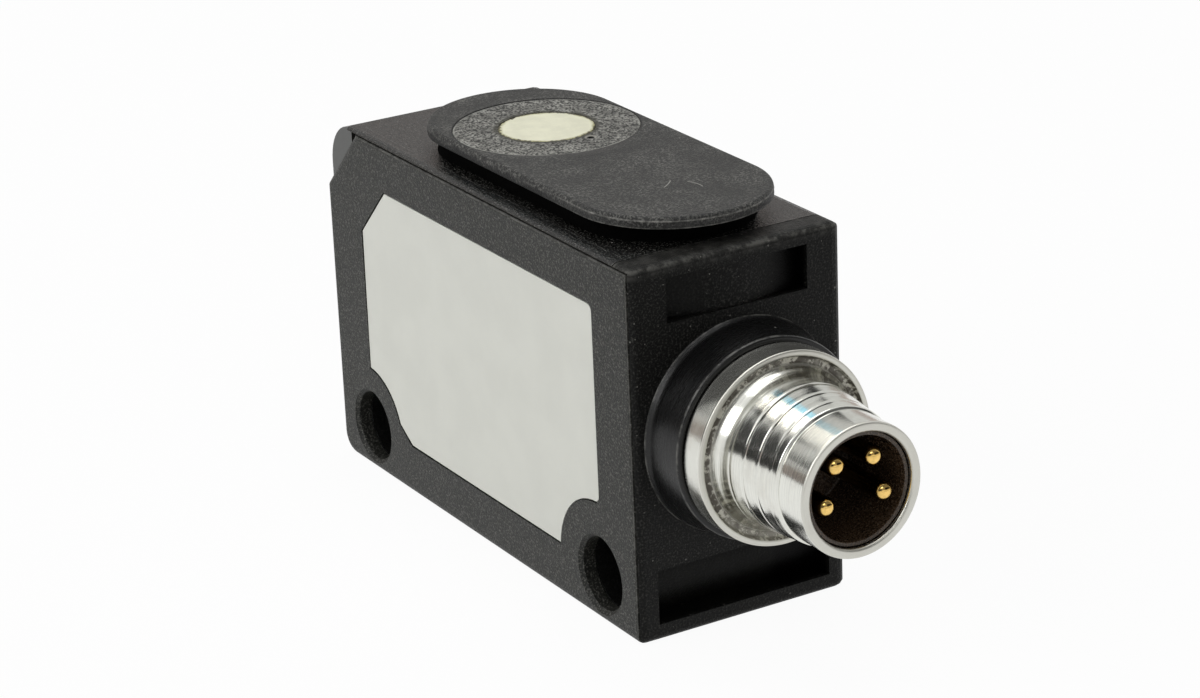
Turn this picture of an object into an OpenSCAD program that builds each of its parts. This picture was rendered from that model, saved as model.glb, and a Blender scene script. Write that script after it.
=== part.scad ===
// Compact block-shaped ultrasonic distance sensor with a round metal plug.
// X runs along the length towards the plug, Y across the width with the label on the -Y side,
// Z up through the sensing head. The origin is the middle of the rear face, which is z = 0.

/* [Housing] */
// Length of the housing without the plug
housing_length = 32; // [30:0.5:40]
// Width of the housing across the side cover
housing_width = 12.5; // [12.3:0.1:15]
// Height of the housing up to the top of the head plate
housing_height = 19.8; // [19.4:0.1:24]
// Wall on the side away from the cover
side_wall = 1.2; // [1:0.05:1.5]
// Wall of the rear face
rear_wall = 1.2; // [0.9:0.05:1.6]
// Wall at the light window's end
far_wall = 1.4; // [1.1:0.05:1.8]
// Wall that carries the plug
end_wall = 2.4; // [2:0.1:3]
// Rounding of the edges on the side away from the cover
back_edge_round = 0.65; // [0.3:0.05:1]
// Rounding of the edges on the cover's side
cover_edge_round = 0.4; // [0.2:0.05:0.6]
// Rounding of the rear corner at the light window's end
rear_corner_round = 1.2; // [0.8:0.1:2]
// Leg of the slanted corner that the light window fills
corner_cut = 3.85; // [3:0.05:4.5]

/* [End pockets] */
// Width of the upper pocket in the plug's end
upper_pocket_width = 8.2; // [6:0.1:9]
// Height of the upper pocket
upper_pocket_height = 2.33; // [1.5:0.01:2.6]
// Distance from the top of the housing to the upper pocket
upper_pocket_drop = 0.8; // [0.6:0.05:1.2]
// Depth of the upper pocket at its two ends
upper_pocket_depth = 0.95; // [0.6:0.05:1.2]
// Radius of the rounded floor of the upper pocket
upper_pocket_bulge = 11; // [9.5:0.5:20]
// Width of the lower pocket
lower_pocket_width = 10.25; // [7:0.05:10.4]
// Height of the lower pocket
lower_pocket_height = 2.92; // [2:0.01:3.2]
// Distance from the rear face to the lower pocket
lower_pocket_lift = 0.9; // [0.7:0.05:1.2]
// Depth of the lower pocket where the screw tube doesn't fill it
lower_pocket_depth = 2.1; // [1.2:0.05:2.2]

/* [Mounting holes] */
// Distance between the two screw holes
hole_spacing = 24.5; // [23.5:0.1:25]
// Height of the screw holes above the rear face
hole_height = 2.55; // [2.5:0.05:3]
// Diameter of the screw holes
hole_diameter = 3.9; // [3.2:0.05:4.1]
// Chamfer at the mouths of the screw holes
hole_chamfer = 0.2; // [0.1:0.05:0.3]
// Wall of the tubes round the screw holes
tube_wall = 0.8; // [0.7:0.05:1]

/* [Side cover] */
// Thickness of the side cover
cover_thickness = 0.9; // [0.8:0.05:1.1]
// Strip of housing left beside the cover at the plug's end
cover_margin = 0.25; // [0.2:0.05:0.6]
// Gap of the seams between the outer parts
seam = 0.08; // [0.05:0.01:0.15]
// Depth of the recess for the label
label_recess = 0.14; // [0.1:0.01:0.2]
// Thickness of the label
label_thickness = 0.1; // [0.05:0.01:0.1]
// Distance from the label to the light window's end
label_far_inset = 3.9; // [3.5:0.05:4.5]
// Distance from the label to the plug's end
label_near_inset = 3.55; // [3.2:0.05:4]
// Distance from the label to the top
label_top_inset = 2.7; // [2.2:0.05:3.2]
// Height of the label's lower edge above the rear face
label_foot = 2.85; // [2.8:0.05:3.2]
// Leg of the label's slanted corner
label_cut = 2.9; // [2.4:0.05:3.4]
// Radius of the label's arc round the screw hole at the light window's end
label_far_arc = 3.48; // [3.2:0.02:3.8]
// Radius of the label's arc round the screw hole at the plug's end
label_near_arc = 3.87; // [3.5:0.01:4.1]

/* [Head plate] */
// Thickness of the head plate
head_thickness = 1.6; // [1.3:0.05:2]
// Width of the strip of end wall beside the head plate
end_strip = 1.55; // [1.2:0.05:2]
// Distance from the far end of the housing to the head plate
window_top = 2.7; // [2.4:0.05:3.2]

/* [Sensing pad] */
// Radius of the pad's round ends
pad_radius = 5.2; // [4.9:0.05:5.4]
// Distance between the centres of the pad's round ends
pad_centres = 14.45; // [12:0.05:15]
// Place of the pad's middle along the housing
pad_x = 2.8; // [2:0.05:3]
// Thickness of the pad's overhanging plate
pad_thickness = 0.62; // [0.5:0.02:0.9]
// Gap under the overhang
pad_gap = 0.95; // [0.6:0.05:1.2]
// How far the pad overhangs its neck
pad_overhang = 0.55; // [0.4:0.05:0.7]
// How much further the pad overhangs its neck at the plug's end
neck_setback = 0.6; // [0.5:0.05:1]
// Rounding of the pad's upper edge
pad_edge_round = 0.14; // [0.05:0.01:0.2]

/* [Transducer] */
// Place of the transducer along the housing
transducer_x = -2.1; // [-2.5:0.05:2]
// Radius of the speckled ring in the pad
ring_radius = 4.95; // [4.6:0.05:5]
// Thickness of the speckled ring
ring_thickness = 0.4; // [0.3:0.02:0.44]
// Radius of the pale sound face
face_radius = 2.57; // [2:0.05:3]
// Thickness of the sound face
face_thickness = 2.15; // [1.5:0.05:2.4]
// Outer radius of the transducer's cup
cup_radius = 4.2; // [4:0.05:4.3]
// Depth of the transducer's cup
cup_depth = 7; // [6:0.1:7.4]
// Wall of the cup
cup_wall = 0.3; // [0.2:0.05:0.4]
// Thickness of the piezo disc
piezo_thickness = 0.4; // [0.3:0.05:0.6]

/* [Plug] */
// Height of the plug's axis above the rear face
plug_height = 10.45; // [10.4:0.05:11.5]
// Radius of the black collar at its foot
collar_foot_radius = 5.62; // [5.3:0.02:5.7]
// Radius of the black collar at its front
collar_front_radius = 5.28; // [5.1:0.02:5.3]
// Length of the black collar in front of the end wall
collar_length = 2.5; // [1.6:0.05:2.6]
// Radius of the collar's shank in the end wall
shank_radius = 4.85; // [4.7:0.05:4.9]
// Radius of the metal stem in the collar
stem_radius = 4.2; // [4:0.05:4.3]
// Radius of the metal flange
flange_radius = 5.03; // [4.8:0.01:5.1]
// Width of the metal flange
flange_width = 1.45; // [1.2:0.05:2.4]
// Radius over the thread
thread_radius = 3.9; // [3.85:0.05:4.1]
// Depth of the thread
thread_depth = 0.2; // [0.1:0.02:0.45]
// Distance from one thread ridge to the next
thread_pitch = 1; // [0.8:0.05:1.1]
// Radius of the smooth front end
nose_radius = 3.43; // [3.3:0.01:3.5]
// Length of the smooth front end
nose_length = 2; // [1.6:0.05:2.4]
// Radius of the plug's bore
plug_bore_radius = 2.92; // [2.8:0.01:2.95]
// Length of the metal shell from the end face to its rim
plug_reach = 10.4; // [10.2:0.1:12]
// Depth of the bore in front of the contact carrier
plug_bore_depth = 5; // [4.4:0.1:5.6]
// Wall of the contact carrier's sleeve, which lines the bore
sleeve_wall = 0.2; // [0.15:0.01:0.3]
// How far the sleeve ends behind the rim
sleeve_setback = 0.3; // [0.2:0.05:1]

/* [Contacts] */
// Radius of a contact pin
pin_radius = 0.5; // [0.4:0.02:0.5]
// How far the pin tips lie behind the rim
pin_setback = 0.3; // [0.2:0.05:1.6]
// Half the distance between the upper two pins
upper_pin_half = 1.08; // [0.95:0.01:1.15]
// Half the distance between the lower two pins
lower_pin_half = 1.67; // [1.5:0.01:1.75]
// Half the distance between the two rows of pins
pin_row = 0.98; // [0.9:0.02:1.05]
// How far the middle of the rows lies above the plug's axis
pin_rise = 0.33; // [0:0.01:0.4]
// Radius of the solder tails
tail_radius = 0.35; // [0.25:0.01:0.4]

/* [Electronics] */
// Thickness of the circuit board
board_thickness = 0.8; // [0.6:0.05:1]
// Place of the board's component side across the housing
board_y = 2.3; // [2.2:0.05:2.4]
// Height of the board's lower edge above the rear face
board_lift = 6; // [5.7:0.05:6.4]
// Radius of a wire with its insulation
wire_radius = 0.4; // [0.3:0.02:0.42]
// Radius of a wire's bend
wire_bend = 0.5; // [0.45:0.02:0.55]
// Distance between the parts of the board's lower row
part_gap = 0.6; // [0.4:0.05:0.7]
// Side of the transformer's base
transformer_size = 5; // [4.6:0.1:5.2]
// Height of the transformer's base
transformer_base = 1; // [0.8:0.05:1.2]
// Radius of the transformer's core
transformer_core = 1.6; // [1.2:0.05:1.8]
// Radius of the transformer's cap
transformer_cap_radius = 2.4; // [2.2:0.05:2.5]
// Thickness of the transformer's cap
transformer_cap = 0.8; // [0.6:0.05:1]
// Height of the transformer over the board
transformer_height = 3.8; // [3.2:0.1:4.2]
// Side of the microcontroller
controller_size = 5; // [4:0.1:5.2]
// Height of the microcontroller
controller_height = 0.9; // [0.7:0.05:1.2]
// Length of the amplifier's body
amplifier_length = 3.9; // [3.6:0.1:4.2]
// Width of the amplifier's body
amplifier_width = 3; // [2.6:0.1:3.4]
// Height of the amplifier's body
amplifier_height = 1.2; // [1:0.05:1.5]
// Distance between the amplifier's legs
leg_pitch = 0.95; // [0.8:0.05:1]
// Width of a leg
leg_width = 0.35; // [0.3:0.05:0.45]
// Reach of a leg
leg_reach = 0.8; // [0.6:0.05:0.9]
// Thickness of a leg
leg_thickness = 0.2; // [0.15:0.05:0.25]
// Length of the voltage regulator
regulator_length = 3; // [2.6:0.1:3.2]
// Width of the voltage regulator
regulator_width = 2.4; // [2:0.1:2.6]
// Height of the voltage regulator
regulator_height = 1.3; // [1:0.05:1.6]
// Length of the filter capacitor
filter_length = 3.5; // [3:0.1:3.8]
// Width of the filter capacitor
filter_width = 2; // [1.6:0.1:2.2]
// Height of the filter capacitor
filter_height = 1.8; // [1.4:0.05:2.2]
// Length of the resonator
resonator_length = 2.5; // [2:0.1:3]
// Width of the resonator
resonator_width = 0.8; // [0.6:0.02:0.86]
// Height of the resonator
resonator_height = 0.7; // [0.5:0.05:0.9]
// Length of a ceramic capacitor
capacitor_length = 1.6; // [1.3:0.05:1.8]
// Width and height of a ceramic capacitor
capacitor_width = 0.8; // [0.6:0.05:0.9]
// Length of a resistor
resistor_length = 1.3; // [1.1:0.05:1.5]
// Width of a resistor
resistor_width = 0.6; // [0.45:0.05:0.7]
// Height of a resistor
resistor_height = 0.45; // [0.3:0.05:0.55]
// Distance from the green light to the board
light_offset = 1.6; // [1.4:0.05:1.8]
// Distance between the two lights
light_pitch = 3; // [2.4:0.1:3.4]
// Side of a light's block
led_size = 1; // [0.8:0.05:1.1]
// Radius of a light's lens
led_radius = 0.45; // [0.35:0.05:0.5]

/* [Hidden] */
$fn = 64;
eps = 0.01;
// Radial clearance between round parts that are pushed together
push_fit = 0.04;
// Air left between inner parts that lie close but don't touch
air = 0.3;

// Faces of the housing
far_x = -housing_length / 2;
near_x = housing_length / 2;
cover_y = -housing_width / 2;
back_y = housing_width / 2;
top_z = housing_height;
near_corner_round = 0.35;
// Steps in which a rounded edge is drawn
edge_steps = 4;

// Inner faces of the housing
in_far_x = far_x + far_wall;
in_near_x = near_x - end_wall;
in_back_y = back_y - side_wall;
in_top_z = top_z - head_thickness;

// Screw holes
hole_radius = hole_diameter / 2;
tube_radius = hole_radius + tube_wall;
hole_xs = [-hole_spacing / 2, hole_spacing / 2];

// Head plate and light window
head_far_x = far_x + window_top;
head_near_x = near_x - end_strip;
window_lip = 0.3;
window_set = 0.15;
window_foot_z = top_z - corner_cut;
window_thickness = 1.25;
window_step = 0.25;
window_flat = 0.05;
window_round = window_top - window_set - window_flat;
light_pipe_radius = 0.8;
light_pipe_length = 2;

// Label
label_corner = 0.35;
label_flare = 1.1;

// Sensing pad
neck_radius = pad_radius - pad_overhang;
pad_bottom_z = top_z + pad_gap;
pad_top_z = pad_bottom_z + pad_thickness;
pad_xs = [pad_x - pad_centres / 2, pad_x + pad_centres / 2];

// Transducer
ring_bottom_z = pad_top_z - ring_thickness;
cup_bottom_z = ring_bottom_z - cup_depth;
face_drop = 0.03;
face_top_z = pad_top_z - face_drop;
face_bottom_z = face_top_z - face_thickness;
piezo_bottom_z = face_bottom_z - piezo_thickness;
lead_offset = 1.3;
lead_drop = 0.9;

// Plug
collar_front_x = near_x + collar_length;
flange_gap = 0.06;
flange_back_x = collar_front_x + flange_gap;
flange_front_x = flange_back_x + flange_width;
rim_x = near_x + plug_reach;
carrier_front_x = rim_x - plug_bore_depth;
sleeve_front_x = rim_x - sleeve_setback;
stem_inside = 0.2;
stem_back_x = in_near_x - stem_inside;
carrier_foot = 0.8;
carrier_back_x = stem_back_x - carrier_foot;
carrier_step = 0.4;
carrier_radius = stem_radius - carrier_step;
tail_length = 0.9;
tail_back_x = carrier_back_x - tail_length;
pin_tip_x = rim_x - pin_setback;
seal_inset = 0.9;
seal_x = near_x - seal_inset;
seal_radius = 0.3;
groove_depth = 2 * seal_radius;
groove_half = 1.5 * seal_radius;
thread_root = thread_radius - thread_depth;
hollow_depth = 0.3;
thread_x = flange_front_x + hollow_depth;
nose_x = rim_x - nose_length;
nose_taper = 0.35;
thread_turns = floor((nose_x - nose_taper - thread_x) / thread_pitch);
edge_break = 0.15;

// Circuit board
board_back_y = board_y + board_thickness;
board_end_gap = 0.3;
board_far_x = in_far_x + board_end_gap;
board_near_gap = 1;
board_near_x = tail_back_x - board_near_gap;
notch_drop = 0.9;
board_notch_z = cup_bottom_z - notch_drop;
board_top_gap = 0.6;
board_top_z = in_top_z - board_top_gap;
board_corner = 2.6;
notch_gap = 1.3;
notch_far_x = transducer_x - cup_radius - notch_gap;
notch_near_x = transducer_x + cup_radius + notch_gap;
rail_width = 0.6;
rail_reach = 1.2;
rail_height = 7;
rail_shelf = 0.9;
post_radius = 0.8;

// Parts of the board's lower row, from the light window's end: transformer, capacitors, controller,
// amplifier, resistors
row_widths = [transformer_size, capacitor_width, controller_size, amplifier_length, resistor_length];
row_margin = 1.8;
row_start_x = board_far_x + row_margin;
row_z = (board_lift + board_notch_z) / 2;
wire_margin = 0.9;
wire_pitch = 1.4;
near_wire_x = board_near_x - wire_margin;
far_wire_x = near_wire_x - wire_pitch;

// The filter capacitor lies under the plug's lower wires, with three resistors over it
part_margin = 0.3;
filter_z = plug_height + pin_rise - pin_row - wire_radius - 2 * part_margin - filter_width / 2;
filter_x = far_wire_x - wire_radius - filter_length / 2;
resistor_foot_z = filter_z + filter_width / 2 + part_margin + resistor_width / 2;
regulator_x = near_wire_x - wire_pitch / 2 - regulator_length / 2;
regulator_margin = 1;
regulator_z = board_top_z - regulator_margin - regulator_width / 2;
dimple_radius = 0.25;
dimple_depth = 0.1;
capacitor_pitch = 1.5 * capacitor_width;
resistor_pitch = 1.6 * resistor_width;

// Lights
led_inset = 2.4;
led_x = board_far_x + led_inset;
led_drop = 0.4;
led_z = window_foot_z - led_drop;
green_y = board_y - light_offset;
yellow_y = green_y - light_pitch;
led_head = 0.7;

// Points of an arc about (cx, cy) with radius r, from angle a0 to a1, in n steps
function arc(cx, cy, r, a0, a1, n = 8) =
    [for (i = [0 : n]) let (a = a0 + (a1 - a0) * i / n) [cx + r * cos(a), cy + r * sin(a)]];

// Outline of the housing seen from the cover's side, with its slanted corner, drawn in by d on every edge
function side_outline(d, slant) =
    let (rear_r = max(rear_corner_round - d, 0.05), near_r = max(near_corner_round - d, 0.05),
         x0 = far_x + d, x1 = near_x - d, z0 = d, z1 = top_z - d, cut = slant - d * (2 - sqrt(2)))
    concat(
        arc(x0 + rear_r, z0 + rear_r, rear_r, 180, 270),
        arc(x1 - near_r, z0 + near_r, near_r, 270, 360, 4),
        arc(x1 - near_r, z1 - near_r, near_r, 0, 90, 4),
        [[x0 + cut, z1], [x0, z1 - cut]]);

// A side outline carried across the housing from y0 to y1
module across(y0, y1) {
    translate([0, y1, 0]) rotate([90, 0, 0]) linear_extrude(y1 - y0) children();
}

// A cylinder across the housing at (x, z)
module cross_rod(x, z, r, y0, y1) {
    translate([x, y1, z]) rotate([90, 0, 0]) cylinder(h = y1 - y0, r = r);
}

// The screw hole with its two chamfered mouths
module screw_hole(x) {
    cross_rod(x, hole_height, hole_radius, cover_y - 1, back_y + 1);
    mouth = hole_radius + hole_chamfer;
    translate([x, cover_y + hole_chamfer, hole_height]) rotate([90, 0, 0])
        cylinder(h = 2 * hole_chamfer, r1 = hole_radius, r2 = mouth + hole_chamfer);
    translate([x, back_y - hole_chamfer, hole_height]) rotate([-90, 0, 0])
        cylinder(h = 2 * hole_chamfer, r1 = hole_radius, r2 = mouth + hole_chamfer);
}

// The whole outer form with rounded long edges, before it is parted
module outer_block(slant = corner_cut) {
    hull() {
        for (i = [0 : edge_steps]) {
            a = 90 * i / edge_steps;
            d = cover_edge_round * (1 - sin(a));
            y = cover_y + cover_edge_round * (1 - cos(a));
            across(y, y + eps) polygon(side_outline(d, slant));
        }
        for (i = [0 : edge_steps]) {
            a = 90 * i / edge_steps;
            d = back_edge_round * (1 - sin(a));
            y = back_y - back_edge_round * (1 - cos(a));
            across(y - eps, y) polygon(side_outline(d, slant));
        }
    }
}

// Outline with two round ends of radius r about the places xs
module stadium(xs, r) {
    for (x = xs) translate([x, 0]) circle(r);
    translate([xs[0], -r]) square([xs[1] - xs[0], 2 * r]);
}

// Outline of the pad's neck, which stands further back under the overhang at the plug's end
module neck_outline(r) {
    stadium([pad_xs[0], pad_xs[1] - neck_setback], r);
}

// A ring or disc about the transducer's axis
module about_transducer(z0, z1, r) {
    translate([transducer_x, 0, z0]) cylinder(h = z1 - z0, r = r);
}

// Turns a profile of (x, radius) points about the plug's axis
module about_plug(points) {
    translate([0, 0, plug_height]) rotate([0, 90, 0]) rotate_extrude()
        polygon([for (p = points) [p[1], p[0]]]);
}

// A straight rod along the plug's axis direction
module plug_rod(x0, x1, r, y = 0, z = 0) {
    translate([x0, y, plug_height + z]) rotate([0, 90, 0]) cylinder(h = x1 - x0, r = r);
}

// The space of the side cover: a plate let into the edge of the housing
module cover_space(gap) {
    inset = cover_margin - gap;
    translate([far_x - 1, cover_y - 1, -1])
        cube([housing_length + 1 - inset, 1 + cover_thickness + gap, top_z + 1 - inset]);
}

// The space of the head plate: its body between the walls, and a thin lip that covers their top edges
module head_space(gap) {
    length = head_near_x - head_far_x + 2 * gap;
    translate([head_far_x - gap, cover_y - 1, in_top_z - gap])
        cube([length, in_back_y + gap - cover_y + 1, head_thickness + 2]);
    translate([head_far_x - gap, cover_y - 1, top_z - cover_margin - gap])
        cube([length, housing_width + 2, cover_margin + 2]);
}

// Outline of the light window, which fills the slanted corner and bulges past it
function window_outline(gap) =
    let (x0 = far_x + window_set - gap, z1 = top_z - window_set + gap)
    concat(
        [[head_far_x, z1]],
        arc(x0 + window_round, z1 - window_round, window_round, 90, 180, 12),
        [[x0, window_foot_z - gap],
         [x0 + window_thickness + gap, window_foot_z - gap],
         [head_far_x, z1 - window_thickness - window_step - gap]]);

// A light pipe from the window to the place of a light-emitting diode
module light_pipe(y, r) {
    translate([led_x, y, led_z]) rotate([0, -45, 0]) translate([0, 0, air + led_head])
        cylinder(h = light_pipe_length, r = r, $fn = 32);
}

module housing() {
    color([0.13, 0.13, 0.125]) difference() {
        outer_block();
        cover_space(seam);
        head_space(seam);
        // Inner space, with the tubes, board rails and posts left standing
        difference() {
            translate([in_far_x, cover_y - 1, rear_wall])
                cube([in_near_x - in_far_x, in_back_y - cover_y + 1, top_z]);
            for (x = hole_xs) cross_rod(x, hole_height, tube_radius, cover_y, back_y);
            board_rails();
            board_posts();
        }
        // Seat of the light window, which leaves a thin lip at its back end
        translate([far_x - 1, cover_y - 1, window_foot_z - seam])
            cube([window_top + 1 + seam, in_back_y - cover_y + 1, corner_cut + 1]);
        across(in_back_y - eps, back_y - window_lip) polygon(window_outline(seam));
        for (x = hole_xs) screw_hole(x);
        plug_rod(in_near_x - 1, near_x + 1, shank_radius + push_fit);
        upper_pocket();
        lower_pocket();
    }
}

// Two ribs on the far wall that hold the board's edge
module board_rails() {
    foot_y = board_y - seam - rail_width;
    for (y = [foot_y, board_back_y + seam])
        translate([in_far_x - 1, y, board_lift]) cube([rail_reach + 1, rail_width, rail_height]);
    translate([in_far_x - 1, foot_y, board_lift - rail_shelf])
        cube([rail_shelf + 1, board_thickness + 2 * (seam + rail_width), rail_shelf]);
}

// Posts on the back wall that the board lies against
module board_posts() {
    for (z = [board_lift + 2 * post_radius, board_top_z - 2 * post_radius])
        cross_rod(board_near_x - 2 * post_radius, z, post_radius, board_back_y, back_y - eps);
}

module upper_pocket() {
    h = upper_pocket_height;
    z = top_z - upper_pocket_drop - h;
    half = upper_pocket_width / 2;
    // The rounded floor comes closest to the end face in the middle
    bulge_x = near_x - upper_pocket_depth - sqrt(pow(upper_pocket_bulge, 2) - pow(half, 2));
    difference() {
        translate([near_x - 1.5, -half, z]) cube([3, upper_pocket_width, h]);
        translate([bulge_x, 0, z - 1]) cylinder(h = h + 2, r = upper_pocket_bulge, $fn = 128);
    }
}

module lower_pocket() {
    half = lower_pocket_width / 2;
    difference() {
        translate([near_x - lower_pocket_depth, -half, lower_pocket_lift])
            cube([lower_pocket_depth + 1, lower_pocket_width, lower_pocket_height]);
        cross_rod(hole_xs[1], hole_height, tube_radius, -half - 1, half + 1);
    }
}

module side_cover() {
    color([0.15, 0.15, 0.145]) difference() {
        intersection() {
            outer_block();
            cover_space(0);
        }
        // Thin lip in front of the light window
        across(cover_y + window_lip, 0) polygon(window_outline(seam));
        for (x = hole_xs) screw_hole(x);
        across(cover_y - 1, cover_y + label_recess) polygon(label_outline(0));
    }
}

// Outline of the label: slanted at the window's corner, and drawn in round the two screw holes
function label_outline(d) =
    let (x0 = far_x + label_far_inset + d, x1 = near_x - label_near_inset - d,
         z0 = label_foot + d, z1 = top_z - label_top_inset - d,
         r0 = label_far_arc + d, r1 = label_near_arc + d, c = label_corner,
         cut = label_cut - d * (2 - sqrt(2)))
    concat(
        arc(hole_xs[0], hole_height, r0, 88, 20, 10),
        [[hole_xs[0] + r0 + label_flare, z0]],
        arc(hole_xs[1], hole_height, r1, 180 - asin((z0 - hole_height) / r1), 90, 12),
        arc(x1 - c, hole_height + r1 + c, c, 270, 360, 3),
        arc(x1 - c, z1 - c, c, 0, 90, 4),
        [[x0 + cut, z1], [x0, z1 - cut]]);

module label_plate() {
    y = cover_y + label_recess;
    color([0.8, 0.8, 0.77]) across(y - label_thickness, y) polygon(label_outline(seam));
}

module head_plate() {
    color([0.17, 0.17, 0.165]) difference() {
        intersection() {
            outer_block(window_top);
            head_space(0);
        }
        translate([0, 0, in_top_z - 1]) linear_extrude(head_thickness + 2)
            neck_outline(neck_radius + push_fit);
        cover_space(seam);
    }
}

module light_window() {
    color([0.55, 0.56, 0.54, 0.7]) {
        across(cover_y + window_lip + seam, back_y - window_lip - seam)
            polygon(window_outline(0));
        for (y = [board_y - 0.4 - 1.2, board_y - 0.4 - 4.2]) light_pipe(y, light_pipe_radius);
    }
}

module sensor_pad() {
    color([0.2, 0.2, 0.195]) difference() {
        union() {
            // Plate with its rounded upper edge
            edge_z = pad_top_z - pad_edge_round;
            translate([0, 0, pad_bottom_z]) linear_extrude(edge_z - pad_bottom_z) stadium(pad_xs, pad_radius);
            for (i = [0 : edge_steps - 1]) {
                a = 90 * (i + 1) / edge_steps;
                z0 = edge_z + pad_edge_round * sin(90 * i / edge_steps);
                z1 = edge_z + pad_edge_round * sin(a);
                translate([0, 0, z0 - eps]) linear_extrude(z1 - z0 + eps)
                    stadium(pad_xs, pad_radius - pad_edge_round * (1 - cos(a)));
            }
            // Neck through the head plate
            translate([0, 0, in_top_z])
                linear_extrude(pad_bottom_z - in_top_z + eps) neck_outline(neck_radius);
        }
        about_transducer(ring_bottom_z, pad_top_z + 1, ring_radius + push_fit);
        about_transducer(in_top_z - 2, pad_top_z + 1, cup_radius + push_fit);
    }
}

module transducer_ring() {
    color([0.3, 0.3, 0.29]) difference() {
        about_transducer(ring_bottom_z, pad_top_z, ring_radius);
        about_transducer(ring_bottom_z - 1, pad_top_z + 1, face_radius + push_fit);
    }
}

module sound_face() {
    color([0.88, 0.87, 0.77]) about_transducer(face_bottom_z, face_top_z, face_radius);
}

module transducer_cup() {
    color([0.72, 0.73, 0.75]) difference() {
        about_transducer(cup_bottom_z, ring_bottom_z, cup_radius);
        about_transducer(cup_bottom_z + cup_wall, ring_bottom_z + 1, cup_radius - cup_wall);
        for (side = [-1, 1]) translate([transducer_x + side * lead_offset, 0, cup_bottom_z - 1])
            cylinder(h = 2, r = wire_radius + push_fit, $fn = 24);
    }
}

module isolating_sleeve() {
    color([0.35, 0.37, 0.4]) difference() {
        about_transducer(piezo_bottom_z, ring_bottom_z, cup_radius - cup_wall - push_fit);
        about_transducer(piezo_bottom_z - 1, ring_bottom_z + 1, face_radius + push_fit);
    }
}

module piezo_disc() {
    color([0.75, 0.72, 0.62]) about_transducer(piezo_bottom_z, face_bottom_z, face_radius);
}

module backing_foam() {
    color([0.85, 0.75, 0.45]) difference() {
        about_transducer(cup_bottom_z + cup_wall, piezo_bottom_z, cup_radius - cup_wall - push_fit);
        for (side = [-1, 1]) translate([transducer_x + side * lead_offset, 0, cup_bottom_z - 1])
            cylinder(h = piezo_bottom_z, r = wire_radius + push_fit, $fn = 24);
    }
}

// A lead from the piezo disc down through the cup's floor and across to the board
module transducer_lead(n) {
    x = transducer_x + (n == 1 ? -1 : 1) * lead_offset;
    bend_z = cup_bottom_z - lead_drop;
    color(n == 1 ? [0.75, 0.15, 0.12] : [0.12, 0.12, 0.12]) {
        translate([x, 0, bend_z]) cylinder(h = piezo_bottom_z - bend_z, r = wire_radius, $fn = 24);
        translate([x, wire_bend, bend_z]) rotate([90, 0, 90]) rotate([0, 0, 180])
            rotate_extrude(angle = 90, $fn = 32) translate([wire_bend, 0]) circle(wire_radius, $fn = 24);
        translate([x, wire_bend, bend_z - wire_bend]) rotate([-90, 0, 0])
            cylinder(h = board_y - wire_bend, r = wire_radius, $fn = 24);
    }
}

module plug_collar() {
    color([0.05, 0.05, 0.05]) about_plug([
        [in_near_x, stem_radius + push_fit], [in_near_x, shank_radius], [near_x, shank_radius],
        [near_x, collar_foot_radius], [near_x + edge_break, collar_foot_radius - 0.1],
        [collar_front_x - edge_break, collar_front_radius],
        [collar_front_x, collar_front_radius - edge_break],
        [collar_front_x, stem_radius + push_fit]]);
}

// Profile of the rounded thread ridges
function thread_profile(x0) =
    [for (t = [0 : thread_turns - 1], i = [0 : 6])
        let (u = i / 7)
        [x0 + (t + u) * thread_pitch, thread_radius - thread_depth / 2 - thread_depth / 2 * cos(360 * u)]];

module plug_shell() {
    thread_end_x = thread_x + thread_turns * thread_pitch;
    color([0.8, 0.8, 0.79]) about_plug(concat(
        [[stem_back_x, plug_bore_radius], [stem_back_x, stem_radius],
         // Groove of the seal in the stem
         [seal_x - groove_half, stem_radius], [seal_x - groove_half, stem_radius - groove_depth],
         [seal_x + groove_half, stem_radius - groove_depth], [seal_x + groove_half, stem_radius],
         [flange_back_x, stem_radius], [flange_back_x, flange_radius - edge_break],
         [flange_back_x + edge_break, flange_radius],
         [flange_front_x - edge_break, flange_radius], [flange_front_x, flange_radius - edge_break],
         // Hollow in the flange's front
         [flange_front_x, flange_radius - edge_break - 0.2],
         [flange_front_x - hollow_depth, flange_radius - edge_break - 0.35],
         [flange_front_x - hollow_depth, thread_root]],
        thread_profile(thread_x),
        [[thread_end_x, thread_root], [nose_x - nose_taper, thread_root],
         // Small notch behind the smooth front end
         [nose_x, nose_radius - edge_break], [nose_x + edge_break / 2, nose_radius],
         [rim_x - edge_break, nose_radius], [rim_x, nose_radius - edge_break],
         [rim_x, plug_bore_radius + 0.12], [rim_x - 0.12, plug_bore_radius]]));
}

module plug_seal() {
    color([0.1, 0.1, 0.1]) translate([seal_x, 0, plug_height]) rotate([0, 90, 0])
        rotate_extrude() translate([stem_radius - seal_radius, 0]) circle(seal_radius, $fn = 24);
}

// Places of the four pins about the plug's axis, as (y, z)
pin_places = [[-upper_pin_half, pin_rise + pin_row], [upper_pin_half, pin_rise + pin_row],
    [lower_pin_half, pin_rise - pin_row], [-lower_pin_half, pin_rise - pin_row]];

// A stepped body whose thin sleeve lines the bore
module contact_carrier() {
    sleeve_radius = plug_bore_radius - push_fit;
    color([0.09, 0.07, 0.06]) difference() {
        about_plug([[carrier_back_x, 0], [carrier_back_x, carrier_radius], [stem_back_x, carrier_radius],
            [stem_back_x, sleeve_radius], [sleeve_front_x, sleeve_radius],
            [sleeve_front_x, sleeve_radius - sleeve_wall], [carrier_front_x, sleeve_radius - sleeve_wall],
            [carrier_front_x, 0]]);
        for (p = pin_places) plug_rod(carrier_back_x - 1, carrier_front_x + 1, pin_radius + eps, p[0], p[1]);
    }
}

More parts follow.
